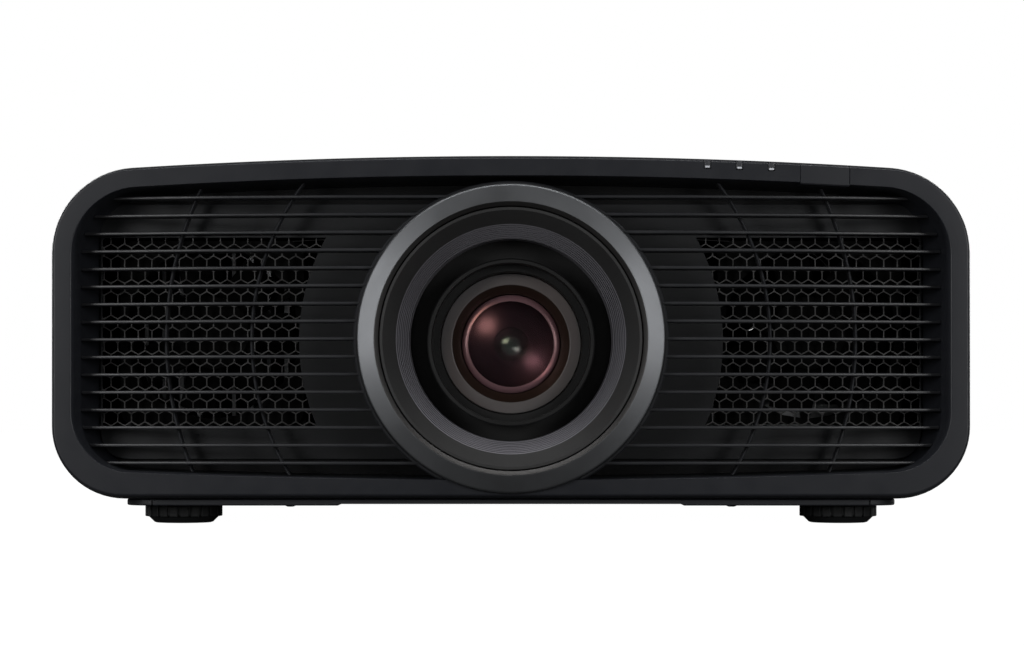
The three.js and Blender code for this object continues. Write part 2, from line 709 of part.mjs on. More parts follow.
/** A square fan frame with a round throat, three struts and a motor seat at the back. */
function fanFrame() {
  const half = FAN.size / 2;
  const frame = prism('y', rectangle(-half, half, -half, half, 6, 2), 0, FAN.deep, [
    circle(0, 0, FAN.throat, 20),
  ]);
  const struts = [90, 210, 330].map((angle) => {
    const spoke = block(0, FAN.throat + 1, FAN.deep - 3, FAN.deep, -2, 2);
    return spoke.rotate([0, angle, 0]);
  });
  const seat = bar('y', 18, FAN.deep - 3, FAN.deep, 0, 0, 12);
  return join(frame, seat, struts);
}

/** A hub with pitched blades. */
function fanRotor() {
  const hub = bar('y', 18.5, 1.5, FAN.deep - 4, 0, 0, 14);
  const blades = Array.from({ length: FAN.blades }, (_, i) => {
    const blade = block(17, 40, -0.9, 0.9, -12, 12);
    return blade.rotate([38, 0, 0]).translate([0, 11, 0]).rotate([0, (360 * i) / FAN.blades, 0]);
  });
  return join(hub, blades);
}

/** The power supply: a tray with its transformer, capacitors and heat plate joined on. */
function powerSupply() {
  const tray = cut(block(96, 200, -150, 70, CHASSIS.top + GAP, 60), block(98, 198, -148, 68, 24, 61));
  const transformer = block(110, 150, -60, -15, 23, 66);
  const coils = [[170, -110], [170, -70], [125, -115]].map(([x, y]) => bar('z', 14, 23, 58, x, y, 12));
  const heatPlate = block(118, 184, 10, 14, 23, 74);
  return join(tray, transformer, coils, heatPlate);
}

/** The main board on its posts, with its chips, coils and connectors joined on. */
function mainBoard() {
  const sheet = block(-100, 100, BOARD.front, BOARD.back, BOARD.bottom, BOARD.bottom + 1.6);
  const top = BOARD.bottom + 1.5;
  const chips = [
    [-60, 60, 34, 34, 8], [10, 60, 40, 40, 12], [70, 90, 20, 26, 5], [-70, 130, 30, 18, 4],
    [0, 150, 60, 12, 6], [60, 150, 16, 16, 9],
  ].map(([x, y, wide, long, tall]) =>
    block(x - wide / 2, x + wide / 2, y - long / 2, y + long / 2, top, top + tall));
  return join(sheet, chips);
}

// ---------------------------------------------------------------- rear

// Sockets on the jack panel: name, centre x, centre z, mouth width, mouth height.
const SOCKETS = [
  ['digital_video_1', -100, 44, 15, 5.6],
  ['digital_video_2', -72, 44, 15, 5.6],
  ['network', -42, 46, 12.6, 10],
  ['service', -14, 44, 12.6, 5.4],
  ['control', 22, 45, 18, 8.6],
  ['trigger', 56, 44, 5, 5],
  ['sync', 84, 45, 10, 10],
];
const JACKS = { x0: -125, x1: 112, low: 30, high: 66, front: 222, back: 224, socketDepth: 13 };
const INLET = { x: 160, z: 46, half: 14, halfTall: 11 };
const FILTER = { half: 118, low: 92, high: 150 };

/** The metal jack panel with its socket shells. */
function terminalPanel() {
  const plate = block(JACKS.x0, JACKS.x1, JACKS.front, JACKS.back, JACKS.low, JACKS.high);
  const shells = SOCKETS.map(([, x, z, wide, tall]) => block(
    x - wide / 2 - 1.5, x + wide / 2 + 1.5,
    JACKS.front - JACKS.socketDepth - 2, JACKS.back + 1.5,
    z - tall / 2 - 1.5, z + tall / 2 + 1.5,
  ));
  const mouths = SOCKETS.map(([, x, z, wide, tall]) => block(
    x - wide / 2, x + wide / 2,
    JACKS.front - JACKS.socketDepth, REAR,
    z - tall / 2, z + tall / 2,
  ));
  const feet = [-110, 100].map((x) =>
    block(x - 8, x + 8, JACKS.front - 12, JACKS.front + 1, CHASSIS.top + 12, CHASSIS.top + 15));
  return cut(join(plate, shells, feet), mouths);
}

/** The mains inlet: a shell with a flange outside the rear wall and three pins. */
function acInlet() {
  const { x, z, half, halfTall } = INLET;
  const shell = block(x - half, x + half, 212, REAR_PANEL.back + 1, z - halfTall, z + halfTall);
  const flange = block(
    x - half - 3, x + half + 3, REAR_PANEL.back + GAP, 236.4, z - halfTall - 2, z + halfTall + 2,
  );
  const mouth = block(x - 12.2, x + 12.2, 219, REAR, z - 8.4, z + 8.4);
  const pins = [[-6, 2], [0, -2], [6, 2]].map(([px, pz]) =>
    block(x + px - 1, x + px + 1, 218, 234.5, z + pz - 2.2, z + pz + 2.2));
  return join(cut(join(shell, flange), mouth), pins);
}

/** The rear wall: intake opening, jack window, inlet hole, key holes, sensor hole. */
function rearPanel() {
  const { front, back } = REAR_PANEL;
  const wall = prism('y', outline(CASE, WALL + GAP), front, back);
  const intake = block(
    -FILTER.half + 5, FILTER.half - 5, front - 1, back + 1, FILTER.low + 5, FILTER.high - 5,
  );
  const jacks = block(
    JACKS.x0 + 4, JACKS.x1 - 4, front - 1, back + 1, JACKS.low + 4, JACKS.high - 4,
  );
  const inlet = block(
    INLET.x - INLET.half - GAP, INLET.x + INLET.half + GAP, front - 1, back + 1,
    INLET.z - INLET.halfTall - GAP, INLET.z + INLET.halfTall + GAP,
  );
  const keyHoles = KEYS.names.map((_, i) =>
    bar('y', KEYS.radius + GAP, front - 1, back + 1, KEYS.x + i * KEYS.pitch, KEYS.z, 12));
  const sensor = bar('y', 6 + GAP, front - 1, back + 1, SENSOR_REAR.x, SENSOR_REAR.z, 12);
  const tray = block(JACKS.x0, JACKS.x1, JACKS.back + GAP, front + 1, JACKS.low - 3, JACKS.low - 1);
  return cut(join(wall, tray), intake, jacks, inlet, keyHoles, sensor);
}

/** A louvred cover that clips over the rear intake. */
function filterCover() {
  const { half, low, high } = FILTER;
  const frame = cut(
    block(-half, half, REAR_PANEL.back + GAP, 237.5, low, high),
    block(-half + 7, half - 7, 230, 240, low + 7, high - 7),
  );
  const louvreCount = 6;
  const pitch = (high - low - 14) / louvreCount;
  const louvres = Array.from({ length: louvreCount }, (_, i) => {
    const z = low + 7 + (i + 0.5) * pitch;
    return block(-half + 5, half - 5, REAR_PANEL.back + 0.6, 237, z - 1.2, z + 1.2);
  });
  const spine = block(-1.5, 1.5, REAR_PANEL.back + 0.6, 237, low + 5, high - 5);
  return join(frame, louvres, spine);
}

/** The filter pad, held in the intake opening behind the cover. */
const airFilter = () => block(
  -FILTER.half + 6, FILTER.half - 6,
  REAR_PANEL.front - 6, REAR_PANEL.back - 0.2,
  FILTER.low + 6, FILTER.high - 6,
);

/** One round key with a flange that stops it behind the wall. */
const controlKey = () => turned('y', [
  [0, 228.5], [KEYS.radius + 1.5, 228.5], [KEYS.radius + 1.5, REAR_PANEL.front - GAP],
  [KEYS.radius, REAR_PANEL.front - GAP], [KEYS.radius, 235.8], [0, 235.8],
], 12);

const rearSensor = () => turned('y', [
  [0, 229], [6, 229], [6, 234.6], [0, 235.2],
], 12);

// ---------------------------------------------------------------- assembly

const tube = caseTube();
const bezel = bezelFrame();
const sensorPiece = bezel.intersect(sensorBlock(0));
const bezelTools = [sensorBlock(GAP), ...LIGHT_XS.map(lightPocket)];

addPart('bottom_case', bottomCase(tube), 'satinBlack');
addPart('top_cover', topCover(tube), 'satinBlack');
addPart('base_skirt', baseSkirt(), 'mattBlack');
addPart('front_bezel', cut(bezel, bezelTools), 'satinBlack');
addPart('sensor_window_front', sensorPiece, 'smoked');
addPart('front_grille', frontGrille(), 'slatBlack');
addPart('mesh_right', meshPlate(), 'slatBlack');
addPart('mesh_left', meshPlate().mirror([1, 0, 0]), 'slatBlack');
addPart('front_baffle', frontBaffle(), 'mattBlack');
addPart('lens_trim_ring', lensTrimRing(), 'silver');
addPart('lens_funnel', lensFunnel(), 'mattBlack');

const lightNames = ['status_light_left', 'status_light_middle', 'status_light_right'];
lightNames.forEach((name, i) => {
  addPart(name, lightGuide(), 'clear', projector, [LIGHT_XS[i], 0, lightHeight(LIGHT_XS[i])]);
});

addPart('chassis_plate', chassisPlate(), 'zinc');
for (const [name, x, y] of footSpots) {
  addPart(`foot_knob_${name}`, footKnob(), 'rubber', projector, [x, y, 0]);
  addPart(`foot_stud_${name}`, footStud(), 'zinc', projector, [x, y, 0]);
}

const lensGroup = new THREE.Group();
lensGroup.position.z = LENS_Z;
projector.add(lensGroup);
addPart('lens_mount', lensMount(), 'zinc');
addPart('shift_plate', shiftPlate(), 'zinc', lensGroup);
addPart('lens_carriage', lensCarriage(), 'zinc', lensGroup);
addPart('lens_barrel', lensBarrel(), 'anodised', lensGroup);
addPart('lens_front_ring', lensFrontRing(), 'anodised', lensGroup);
addPart('front_lens', frontLens(), 'glass', lensGroup);
addPart('inner_lens', innerLens(), 'glass', lensGroup);
addPart('focus_ring', gearRing(FOCUS), 'mattBlack', lensGroup);
addPart('zoom_ring', gearRing(ZOOM), 'mattBlack', lensGroup);
for (const [name, drive] of [['focus', FOCUS], ['zoom', ZOOM]]) {
  const [x, z] = pinionSpot(drive);
  addPart(`${name}_pinion`, gearPinion(drive), 'brass', lensGroup, [x, 0, z]);
  addPart(`${name}_motor`, driveMotor(drive), 'zinc', lensGroup, [x, 0, z]);
}

addPart('optical_block', opticalBlock(), 'mattBlack');
addPart('prism', prismBlock(), 'glass');
const prismMiddle = (PRISM.front + PRISM.back) / 2;
const panelPlaces = [
  ['panel_red', Math.PI / 2, -PRISM.x, prismMiddle],
  ['panel_green', 0, 0, PRISM.back],
  ['panel_blue', -Math.PI / 2, PRISM.x, prismMiddle],
];
for (const [name, turn, x, y] of panelPlaces) {
  const panel = imagingPanel().rotate([0, 0, (turn * 180) / Math.PI]);
  addPart(name, panel, 'mattBlack', projector, [x, y, 0]);
}
addPart('laser_module', laserModule(), 'zinc');
addPart('heat_sink', heatSink(), 'aluminium');
for (const [side, x] of [['left', -FAN.x], ['right', FAN.x]]) {
  addPart(`fan_frame_${side}`, fanFrame(), 'mattBlack', projector, [x, FAN.front, FAN.z]);
  addPart(`fan_rotor_${side}`, fanRotor(), 'mattBlack', projector, [x, FAN.front, FAN.z]);
}
addPart('power_supply', powerSupply(), 'zinc');
addPart('main_board', mainBoard(), 'board');

addPart('rear_panel', rearPanel(), 'satinBlack');
addPart('terminal_panel', terminalPanel(), 'zinc');
addPart('ac_inlet', acInlet(), 'mattBlack');
addPart('filter_cover', filterCover(), 'satinBlack');
addPart('air_filter', airFilter(), 'foam');
addPart('sensor_window_rear', rearSensor(), 'smoked', projector, [SENSOR_REAR.x, 0, SENSOR_REAR.z]);
KEYS.names.forEach((name, i) => {
  addPart(name, controlKey(), 'satinBlack', projector, [KEYS.x + i * KEYS.pitch, 0, KEYS.z]);
});

export default projector;
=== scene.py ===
"""Looks of a home projector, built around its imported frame.

Each sub-assembly is a class that holds its sizes, builds its meshes in metres where
the frame puts them, dresses them in a procedural finish and sets them to ride on the
body that carries them.
"""

import logging
import math
from collections.abc import Callable, Sequence
from dataclasses import dataclass, field
from enum import Enum
from typing import Any

import bmesh
import bpy
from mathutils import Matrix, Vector


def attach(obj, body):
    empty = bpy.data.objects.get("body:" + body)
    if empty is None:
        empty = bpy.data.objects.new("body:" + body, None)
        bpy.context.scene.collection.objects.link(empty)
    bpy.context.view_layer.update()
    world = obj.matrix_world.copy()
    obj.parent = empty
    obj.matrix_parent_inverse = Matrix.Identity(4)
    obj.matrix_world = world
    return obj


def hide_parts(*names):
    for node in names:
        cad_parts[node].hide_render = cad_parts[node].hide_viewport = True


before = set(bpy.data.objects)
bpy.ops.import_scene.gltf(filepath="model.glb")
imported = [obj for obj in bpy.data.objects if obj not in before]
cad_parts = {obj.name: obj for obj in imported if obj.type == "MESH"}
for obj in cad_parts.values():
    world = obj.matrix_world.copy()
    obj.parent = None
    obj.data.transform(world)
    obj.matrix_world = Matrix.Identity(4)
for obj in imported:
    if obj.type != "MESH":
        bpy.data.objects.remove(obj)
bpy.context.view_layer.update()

LOG = logging.getLogger("home_projector")
MM = 0.001
QUARTER = math.pi / 2
SHARP_ANGLE = math.radians(32)
CASE = "case"
RING_HEIGHT = 91.1
BARREL_HEIGHT = 89.9

UPWARDS = (0, 0, 1)
BACKWARDS = (0, 1, 0)

Object = bpy.types.Object
Socket = bpy.types.NodeSocket
Pair = tuple[float, float]
Triple = tuple[float, float, float]
Box = tuple[float, float, float, float]
Loop = list[Vector]
Inputs = dict[str | int, Any]
FaceTest = Callable[[Vector], bool]


# ------------------------------------------------------------------ outlines


def arc(centre: Pair, radius: float, start: float, end: float, steps: int) -> list[Pair]:
    """Points along an arc, both ends included.

    Args:
        centre: Centre of the arc.
        radius: Its radius.
        start: Angle of the first point, in radians.
        end: Angle of the last point.
        steps: Number of equal steps.

    Returns:
        The points.
    """
    angles = (start + (end - start) * i / steps for i in range(steps + 1))
    return [(centre[0] + radius * math.cos(a), centre[1] + radius * math.sin(a)) for a in angles]


@dataclass(frozen=True)
class Outline:
    """A rounded outline seen from the front, whose lower and upper edges are long arcs.

    All sizes are in millimetres.
    """

    half: float
    bottom: float
    bottom_arc: float
    bottom_corner: float
    top: float
    top_arc: float
    top_corner: float
    corner_steps: int = 16
    edge_steps: int = 14
    side_steps: int = 6
    clearance: float = 0.2

    def right_half(self, inset: float = 0.0) -> list[Pair]:
        """Points from the bottom centre round the right side to the top centre."""
        low_x, high_x = self.half - self.bottom_corner, self.half - self.top_corner
        low_arm, high_arm = self.bottom_arc - self.bottom_corner, self.top_arc - self.top_corner
        low_centre, high_centre = self.bottom + self.bottom_arc, self.top - self.top_arc
        low_tilt, high_tilt = math.asin(low_x / low_arm), math.asin(high_x / high_arm)
        low_z = low_centre - math.sqrt(low_arm**2 - low_x**2)
        high_z = high_centre + math.sqrt(high_arm**2 - high_x**2)
        floor = arc((0, low_centre), self.bottom_arc - inset, -QUARTER, low_tilt - QUARTER, self.edge_steps)
        low = arc((low_x, low_z), self.bottom_corner - inset, low_tilt - QUARTER, 0, self.corner_steps)
        high = arc((high_x, high_z), self.top_corner - inset, 0, QUARTER - high_tilt, self.corner_steps)
        crown = arc((0, high_centre), self.top_arc - inset, QUARTER - high_tilt, QUARTER, self.edge_steps)
        side = [
            (self.half - inset, low_z + (high_z - low_z) * i / self.side_steps)
            for i in range(1, self.side_steps)
        ]
        return floor[:-1] + low + side + high + crown[1:]

    def points(self, inset: float = 0.0) -> list[Pair]:
        """The whole outline, anticlockwise from the bottom centre."""
        right = self.right_half(inset)
        return right + [(-x, z) for x, z in reversed(right[1:-1])]

    def path_above(self, height: float, inset: float = 0.0) -> list[Pair]:
        """The part above a height on the straight sides, from right to left."""
        above = [p for p in self.right_half(inset) if p[1] > height + self.clearance]
        right = [(self.half - inset, height), *above]
        return right + [(-x, z) for x, z in reversed(right[:-1])]

    def path_below(self, height: float, inset: float = 0.0) -> list[Pair]:
        """The part below a height on the straight sides, from right to left."""
        below = [p for p in self.right_half(inset) if p[1] < height - self.clearance]
        right = [*below, (self.half - inset, height)]
        return list(reversed(right)) + [(-x, z) for x, z in right[1:]]


CASE_OUTLINE = Outline(225, 12.9, 1e6, 35.5, 181, 2981, 42)
WINDOW_FACE = Outline(215, 22.2, 4900, 30, 170.8, 2970, 34)
WINDOW_THROAT = Outline(213, 22.8, 4900, 28, 170.2, 2970, 32)
WINDOW_MIDDLE = Outline(212.4, 23.3, 4900, 27, 169.7, 2970, 31)
WINDOW_BACK = Outline(205.5, 24, 4900, 21, 169, 2970, 25)


def rounded(corners: Sequence[Triple], steps: int = 4) -> list[Pair]:
    """A closed polygon whose corners are rounded.

    Args:
        corners: Each corner as (a, b, radius).
        steps: Steps along each rounded corner.

    Returns:
        The points round the polygon.
    """
    result: list[Pair] = []
    count = len(corners)
    for i, (a, b, radius) in enumerate(corners):
        here = Vector((a, b))
        if radius <= 0:
            result.append((a, b))
            continue
        back = Vector(corners[i - 1][:2]) - here
        ahead = Vector(corners[(i + 1) % count][:2]) - here
        angle = back.angle(ahead)
        reach = min(radius / math.tan(angle / 2), 0.49 * back.length, 0.49 * ahead.length)
        start, end = here + back.normalized() * reach, here + ahead.normalized() * reach
        for k in range(steps + 1):
            t = k / steps
            point = start * (1 - t) ** 2 + here * 2 * t * (1 - t) + end * t**2
            result.append((point.x, point.y))
    return result


def circle(radius: float, count: int, centre: Pair = (0, 0)) -> list[Pair]:
    """Points round a circle, the first not repeated."""
    return arc(centre, radius, 0, 2 * math.pi, count)[:-1]


# ------------------------------------------------------------------ mesh making


def linked(name: str, data: bpy.types.ID) -> Object:
    """Makes an object from its data and links it to the scene."""
    obj = bpy.data.objects.new(name, data)
    bpy.context.scene.collection.objects.link(obj)
    return obj


def new_object(name: str, points: Sequence[Sequence[float]], faces: Sequence[Sequence[int]]) -> Object:
    """Makes a mesh object at the origin from its points and faces."""
    mesh = bpy.data.meshes.new(name)
    mesh.from_pydata([tuple(p) for p in points], [], [tuple(f) for f in faces])
    mesh.update()
    return linked(name, mesh)


def from_edited(name: str, bm: bmesh.types.BMesh) -> Object:
    """Makes an object from an edited mesh, which is then freed."""
    mesh = bpy.data.meshes.new(name)
    bm.to_mesh(mesh)
    bm.free()
    return linked(name, mesh)


def shade(obj: Object) -> Object:
    """Shades a mesh smoothly, apart from its sharp edges."""
    obj.data.shade_smooth()
    obj.data.set_sharp_from_angle(angle=SHARP_ANGLE)
    return obj


def tidy(obj: Object, merge: float = 1e-6) -> Object:
    """Merges doubles, turns the faces outwards and shades the mesh.

    Args:
        obj: The mesh object.
        merge: Distance within which vertices are merged, in metres.

    Returns:
        The same object.
    """
    bm = bmesh.new()
    bm.from_mesh(obj.data)
    bmesh.ops.remove_doubles(bm, verts=bm.verts, dist=merge)
    bmesh.ops.recalc_face_normals(bm, faces=bm.faces)
    bm.to_mesh(obj.data)
    bm.free()
    return shade(obj)


def skin(name: str, loops: Sequence[Loop], closed: bool) -> Object:
    """Joins loops of equal length by quads.

    Args:
        name: Name of the object.
        loops: Loops of points, each one closed.
        closed: Whether the last loop joins the first; otherwise both ends get a cap.

    Returns:
        The new object.
    """
    count = len(loops[0])
    vertices = [point for loop in loops for point in loop]
    faces: list[Sequence[int]] = []
    pairs = len(loops) if closed else len(loops) - 1
    for s in range(pairs):
        a, b = s * count, ((s + 1) % len(loops)) * count
        faces += [(a + i, a + (i + 1) % count, b + (i + 1) % count, b + i) for i in range(count)]
    if not closed:
        last = (len(loops) - 1) * count
        faces += [tuple(range(count)), tuple(last + i for i in reversed(range(count)))]
    return tidy(new_object(name, vertices, faces))


class Axis(Enum):
    """The axis that a turned piece or a plate's thickness lies along."""

    Y = "y"
    Z = "z"

    def place(self, a: float, b: float, along: float) -> Vector:
        """A point from two coordinates across the axis and one along it, in millimetres."""
        if self is Axis.Y:
            return Vector((a, along, b)) * MM
        return Vector((a, b, along)) * MM


def turned(name: str, profile: Sequence[Pair], centre: Pair, axis: Axis = Axis.Y,
           sides: int = 128) -> Object:
    """A profile of (radius, height) points turned about an axis.

    Args:
        name: Name of the object.
        profile: The points in millimetres: a closed loop, or a line whose ends are on the axis.
        centre: Where the axis lies, in millimetres.
        axis: Its direction.
        sides: Number of steps round the axis.

    Returns:
        The new object, closed.
    """
    vertices: list[Vector] = []
    rows: list[list[int]] = []
    for radius, height in profile:
        count = 1 if radius < 1e-6 else sides
        rows.append([len(vertices) + i for i in range(count)])
        for a, b in circle(radius, sides, centre)[:count] if count > 1 else [centre]:
            vertices.append(axis.place(a, b, height))
    faces: list[Sequence[int]] = []
    on_axis = len(rows[0]) == 1
    for first, second in zip(rows, rows[1:] if on_axis else rows[1:] + rows[:1]):
        for i in range(sides):
            j = (i + 1) % sides
            corners = [(first, i), (first, j), (second, j), (second, i)]
            faces.append(list(dict.fromkeys(row[k % len(row)] for row, k in corners)))
    return tidy(new_object(name, vertices, faces))


def round_edges(bm: bmesh.types.BMesh, edges: Sequence[bmesh.types.BMEdge], width: float) -> None:
    """Rounds edges of an edited mesh by a width in millimetres."""
    bmesh.ops.bevel(bm, geom=edges, offset=width * MM, segments=3, profile=0.5, affect="EDGES")


def filled(name: str, outer: Sequence[Pair], holes: Sequence[Sequence[Pair]], span: Pair,
           axis: Axis = Axis.Y, edge: float = 0.0) -> Object:
    """A flat plate with holes.

    Args:
        name: Name of the object.
        outer: Its outline, in millimetres.
        holes: The outlines of its holes.
        span: Where its two faces lie along the axis.
        axis: The direction of its thickness.
        edge: Width of the rounding round its rim and holes, or 0 for none.

    Returns:
        The new object, closed.
    """
    bm = bmesh.new()
    for loop in [outer, *holes]:
        verts = [bm.verts.new(axis.place(a, b, span[0])) for a, b in loop]
        for i, vert in enumerate(verts):
            bm.edges.new((vert, verts[(i + 1) % len(verts)]))
    bmesh.ops.triangle_fill(bm, edges=bm.edges, use_beauty=True, use_dissolve=False)
    bmesh.ops.dissolve_limit(bm, angle_limit=0.01, verts=bm.verts, edges=bm.edges, delimit=set())
    made = bmesh.ops.extrude_face_region(bm, geom=bm.faces[:])
    moved = [g for g in made["geom"] if isinstance(g, bmesh.types.BMVert)]
    shift = axis.place(0, 0, span[1] - span[0])
    bmesh.ops.translate(bm, verts=moved, vec=shift)
    bmesh.ops.recalc_face_normals(bm, faces=bm.faces)
    if edge > 0:
        rims = [e for e in bm.edges if e.is_manifold and e.calc_face_angle(0) > math.radians(60)]
        flat = [e for e in rims if abs((e.verts[1].co - e.verts[0].co).dot(shift)) < 1e-12]
        round_edges(bm, flat, edge)
    return tidy(from_edited(name, bm))


def block(name: str, low: Triple, high: Triple, edge: float = 0.4) -> Object:
    """A box with rounded edges between two corners, in millimetres."""
    bm = bmesh.new()
    bmesh.ops.create_cube(bm, size=1.0)
    for vert in bm.verts:
        for k in range(3):
            vert.co[k] = ((low[k] + high[k]) / 2 + vert.co[k] * (high[k] - low[k])) * MM
    if edge > 0:
        round_edges(bm, bm.edges[:], edge)
    return tidy(from_edited(name, bm))


def boolean(obj: Object, tools: Sequence[Object], operation: str = "DIFFERENCE") -> Object:
    """Cuts, joins or intersects an object with others, which are then removed."""
    for tool in tools:
        modifier = obj.modifiers.new("cut", "BOOLEAN")
        modifier.operation = operation
        modifier.solver = "EXACT"
        modifier.object = tool
        bake_modifiers(obj)
        bpy.data.objects.remove(tool)
    return tidy(obj)


def bake_modifiers(obj: Object) -> None:
    """Turns an object's evaluated shape into its own plain mesh and drops its modifiers."""
    evaluated = obj.evaluated_get(bpy.context.evaluated_depsgraph_get())
    mesh = bpy.data.meshes.new_from_object(evaluated)
    obj.modifiers.clear()
    obj.data = mesh


def even_shading(obj: Object) -> None:
    """Lets wide faces rule the shading, so that flat walls look flat beside small fillets.

    Args:
        obj: A finished mesh object, whose sharp edges stay sharp.
    """
    modifier = obj.modifiers.new("Weighted normals", "WEIGHTED_NORMAL")
    modifier.keep_sharp = True
    bake_modifiers(obj)


def merged(name: str, objects: Sequence[Object]) -> Object:
    """Joins mesh objects into one new object."""
    bm = bmesh.new()
    for obj in objects:
        bm.from_mesh(obj.data)
        bpy.data.objects.remove(obj)
    return shade(from_edited(name, bm))


def mirrored(obj: Object, name: str) -> Object:
    """A copy of an object on the other side of the middle plane."""
    mesh = obj.data.copy()
    for vert in mesh.vertices:
        vert.co.x = -vert.co.x
    return tidy(linked(name, mesh))


# ------------------------------------------------------------------ finishes


class NodeTree:
    """Short ways of adding and joining the nodes of one tree."""

    def __init__(self, tree: bpy.types.NodeTree) -> None:
        self.tree = tree

    def add(self, kind: str, inputs: Inputs | None = None, **settings: Any) -> bpy.types.Node:
        """Adds a node, sets its properties and fills its inputs.

        Args:
            kind: The node's type.
            inputs: Values or output sockets by input name or number.
            settings: Properties of the node.

        Returns:
            The node.
        """
        node = self.tree.nodes.new(kind)
        for key, value in settings.items():
            setattr(node, key, value)
        for key, value in (inputs or {}).items():
            self.put(node, key, value)
        return node

    def put(self, node: bpy.types.Node, key: str | int, value: Any) -> None:
        """Sets an input to a value, or joins it to an output."""
        if isinstance(value, Socket):
            self.tree.links.new(value, node.inputs[key])
        else:
            node.inputs[key].default_value = value

    def maths(self, operation: str, a: Any, b: Any = 0.0) -> Socket:
        """The result of a maths node."""
        return self.add("ShaderNodeMath", {0: a, 1: b}, operation=operation).outputs[0]


class Nodes(NodeTree):
    """The shader nodes of one material."""

    def __init__(self, name: str) -> None:
        self.material = bpy.data.materials.new(name)
        self.material.use_nodes = True
        super().__init__(self.material.node_tree)
        self.bsdf = self.tree.nodes["Principled BSDF"]
        self.coordinates = self.tree.nodes.new("ShaderNodeTexCoord").outputs["Object"]

    def surface(self, **values: Any) -> None:
        """Fills inputs of the principled shader; underscores stand for spaces."""
        for key, value in values.items():
            self.put(self.bsdf, key.replace("_", " "), value)

    def noise(self, scale: float, detail: float = 3.0, stretch: Triple = (1, 1, 1)) -> Socket:
        """A noise value, finer along the axes with a larger stretch."""
        mapping = self.add("ShaderNodeMapping", {"Vector": self.coordinates, "Scale": stretch})
        inputs = {"Vector": mapping.outputs[0], "Scale": scale, "Detail": detail}
        return self.add("ShaderNodeTexNoise", inputs).outputs["Fac"]

    def spread(self, value: Socket, low: float, high: float) -> Socket:
        """Maps the middle of a noise value to a range."""
        inputs = {"Value": value, 1: 0.3, 2: 0.7, 3: low, 4: high}
        return self.add("ShaderNodeMapRange", inputs).outputs[0]

    def mixed(self, factor: Any, first: Any, second: Any) -> Socket:
        """Mixes two colours."""
        inputs = {"Factor": factor, 6: first, 7: second}
        return self.add("ShaderNodeMix", inputs, data_type="RGBA").outputs[2]

    def bump(self, height: Socket, depth: float) -> Socket:
        """A normal bumped by a height, up to a depth in metres."""
        return self.add("ShaderNodeBump", {"Height": height, "Distance": depth}).outputs[0]

    def cells(self, scale: float, randomness: float = 1.0, **settings: Any) -> Socket:
        """The distance given by a cell pattern."""
        inputs = {"Vector": self.coordinates, "Scale": scale, "Randomness": randomness}
        return self.add("ShaderNodeTexVoronoi", inputs, **settings).outputs[0]

    def axis_distance(self, height: float) -> Socket:
        """Distance from the front-to-back line at a height, in metres."""
        split = self.add("ShaderNodeSeparateXYZ", {0: self.coordinates})
        rise = self.maths("SUBTRACT", split.outputs[2], height)
        squares = self.maths("MULTIPLY", split.outputs[0], split.outputs[0])
        return self.maths("SQRT", self.maths("ADD", squares, self.maths("MULTIPLY", rise, rise)))


@dataclass(frozen=True)
class Finish:
    """A surface finish; the subclasses say how the material is made."""

    name: str
    colour: Triple
    roughness: float

    @property
    def rgba(self) -> tuple[float, ...]:
        """The base colour with full opacity."""
        return self.shade(1.0)

    def shade(self, factor: float) -> tuple[float, ...]:
        """The base colour made darker or paler by a factor."""
        return (*(c * factor for c in self.colour), 1.0)

    def make(self) -> bpy.types.Material:
        """Builds the material, or returns it if it was built before."""
        made = bpy.data.materials.get(self.name)
        if made is None:
            nodes = Nodes(self.name)
            nodes.surface(Base_Color=self.rgba, Roughness=self.roughness)
            self.detail(nodes)
            made = nodes.material
        return made

    def detail(self, nodes: Nodes) -> None:
        """Adds the finish's own nodes."""
        raise NotImplementedError


@dataclass(frozen=True)
class Moulded(Finish):
    """Textured plastic or paint: a fine grain, uneven gloss and slight mottling."""

    grain: float = 1400.0
    depth: float = 0.00004
    mottle: float = 0.12
    gloss: float = 0.5

    def detail(self, nodes: Nodes) -> None:
        """Adds grain, mottling and gloss variation."""
        wide = nodes.noise(26.0, 4.0)
        fine = nodes.noise(self.grain, 2.0)
        dark, pale = self.shade(1 - self.mottle), self.shade(1 + self.mottle)
        nodes.surface(
            Base_Color=nodes.mixed(nodes.spread(wide, 0.0, 1.0), dark, pale),
            Roughness=nodes.spread(nodes.noise(90.0), self.roughness - 0.04, self.roughness + 0.05),
            Normal=nodes.bump(fine, self.depth),
            IOR=1.5,
            Specular_IOR_Level=self.gloss,
        )


@dataclass(frozen=True)
class Metal(Finish):
    """Bare or plated metal, brushed along one axis when a stretch is given."""

    stretch: Triple = (1, 1, 1)
    grain: float = 300.0
    depth: float = 0.00001
    metallic: float = 1.0

    def detail(self, nodes: Nodes) -> None:
        """Adds fine brushing or a cast grain and smudges."""
        grain = nodes.noise(self.grain, 4.0, self.stretch)
        smudge = nodes.noise(35.0, 5.0)
        nodes.surface(
            Base_Color=nodes.mixed(nodes.spread(smudge, 0.0, 1.0), self.shade(0.86), self.rgba),
            Metallic=self.metallic,
            Roughness=nodes.spread(smudge, self.roughness - 0.05, self.roughness + 0.07),
            Normal=nodes.bump(grain, self.depth),
        )


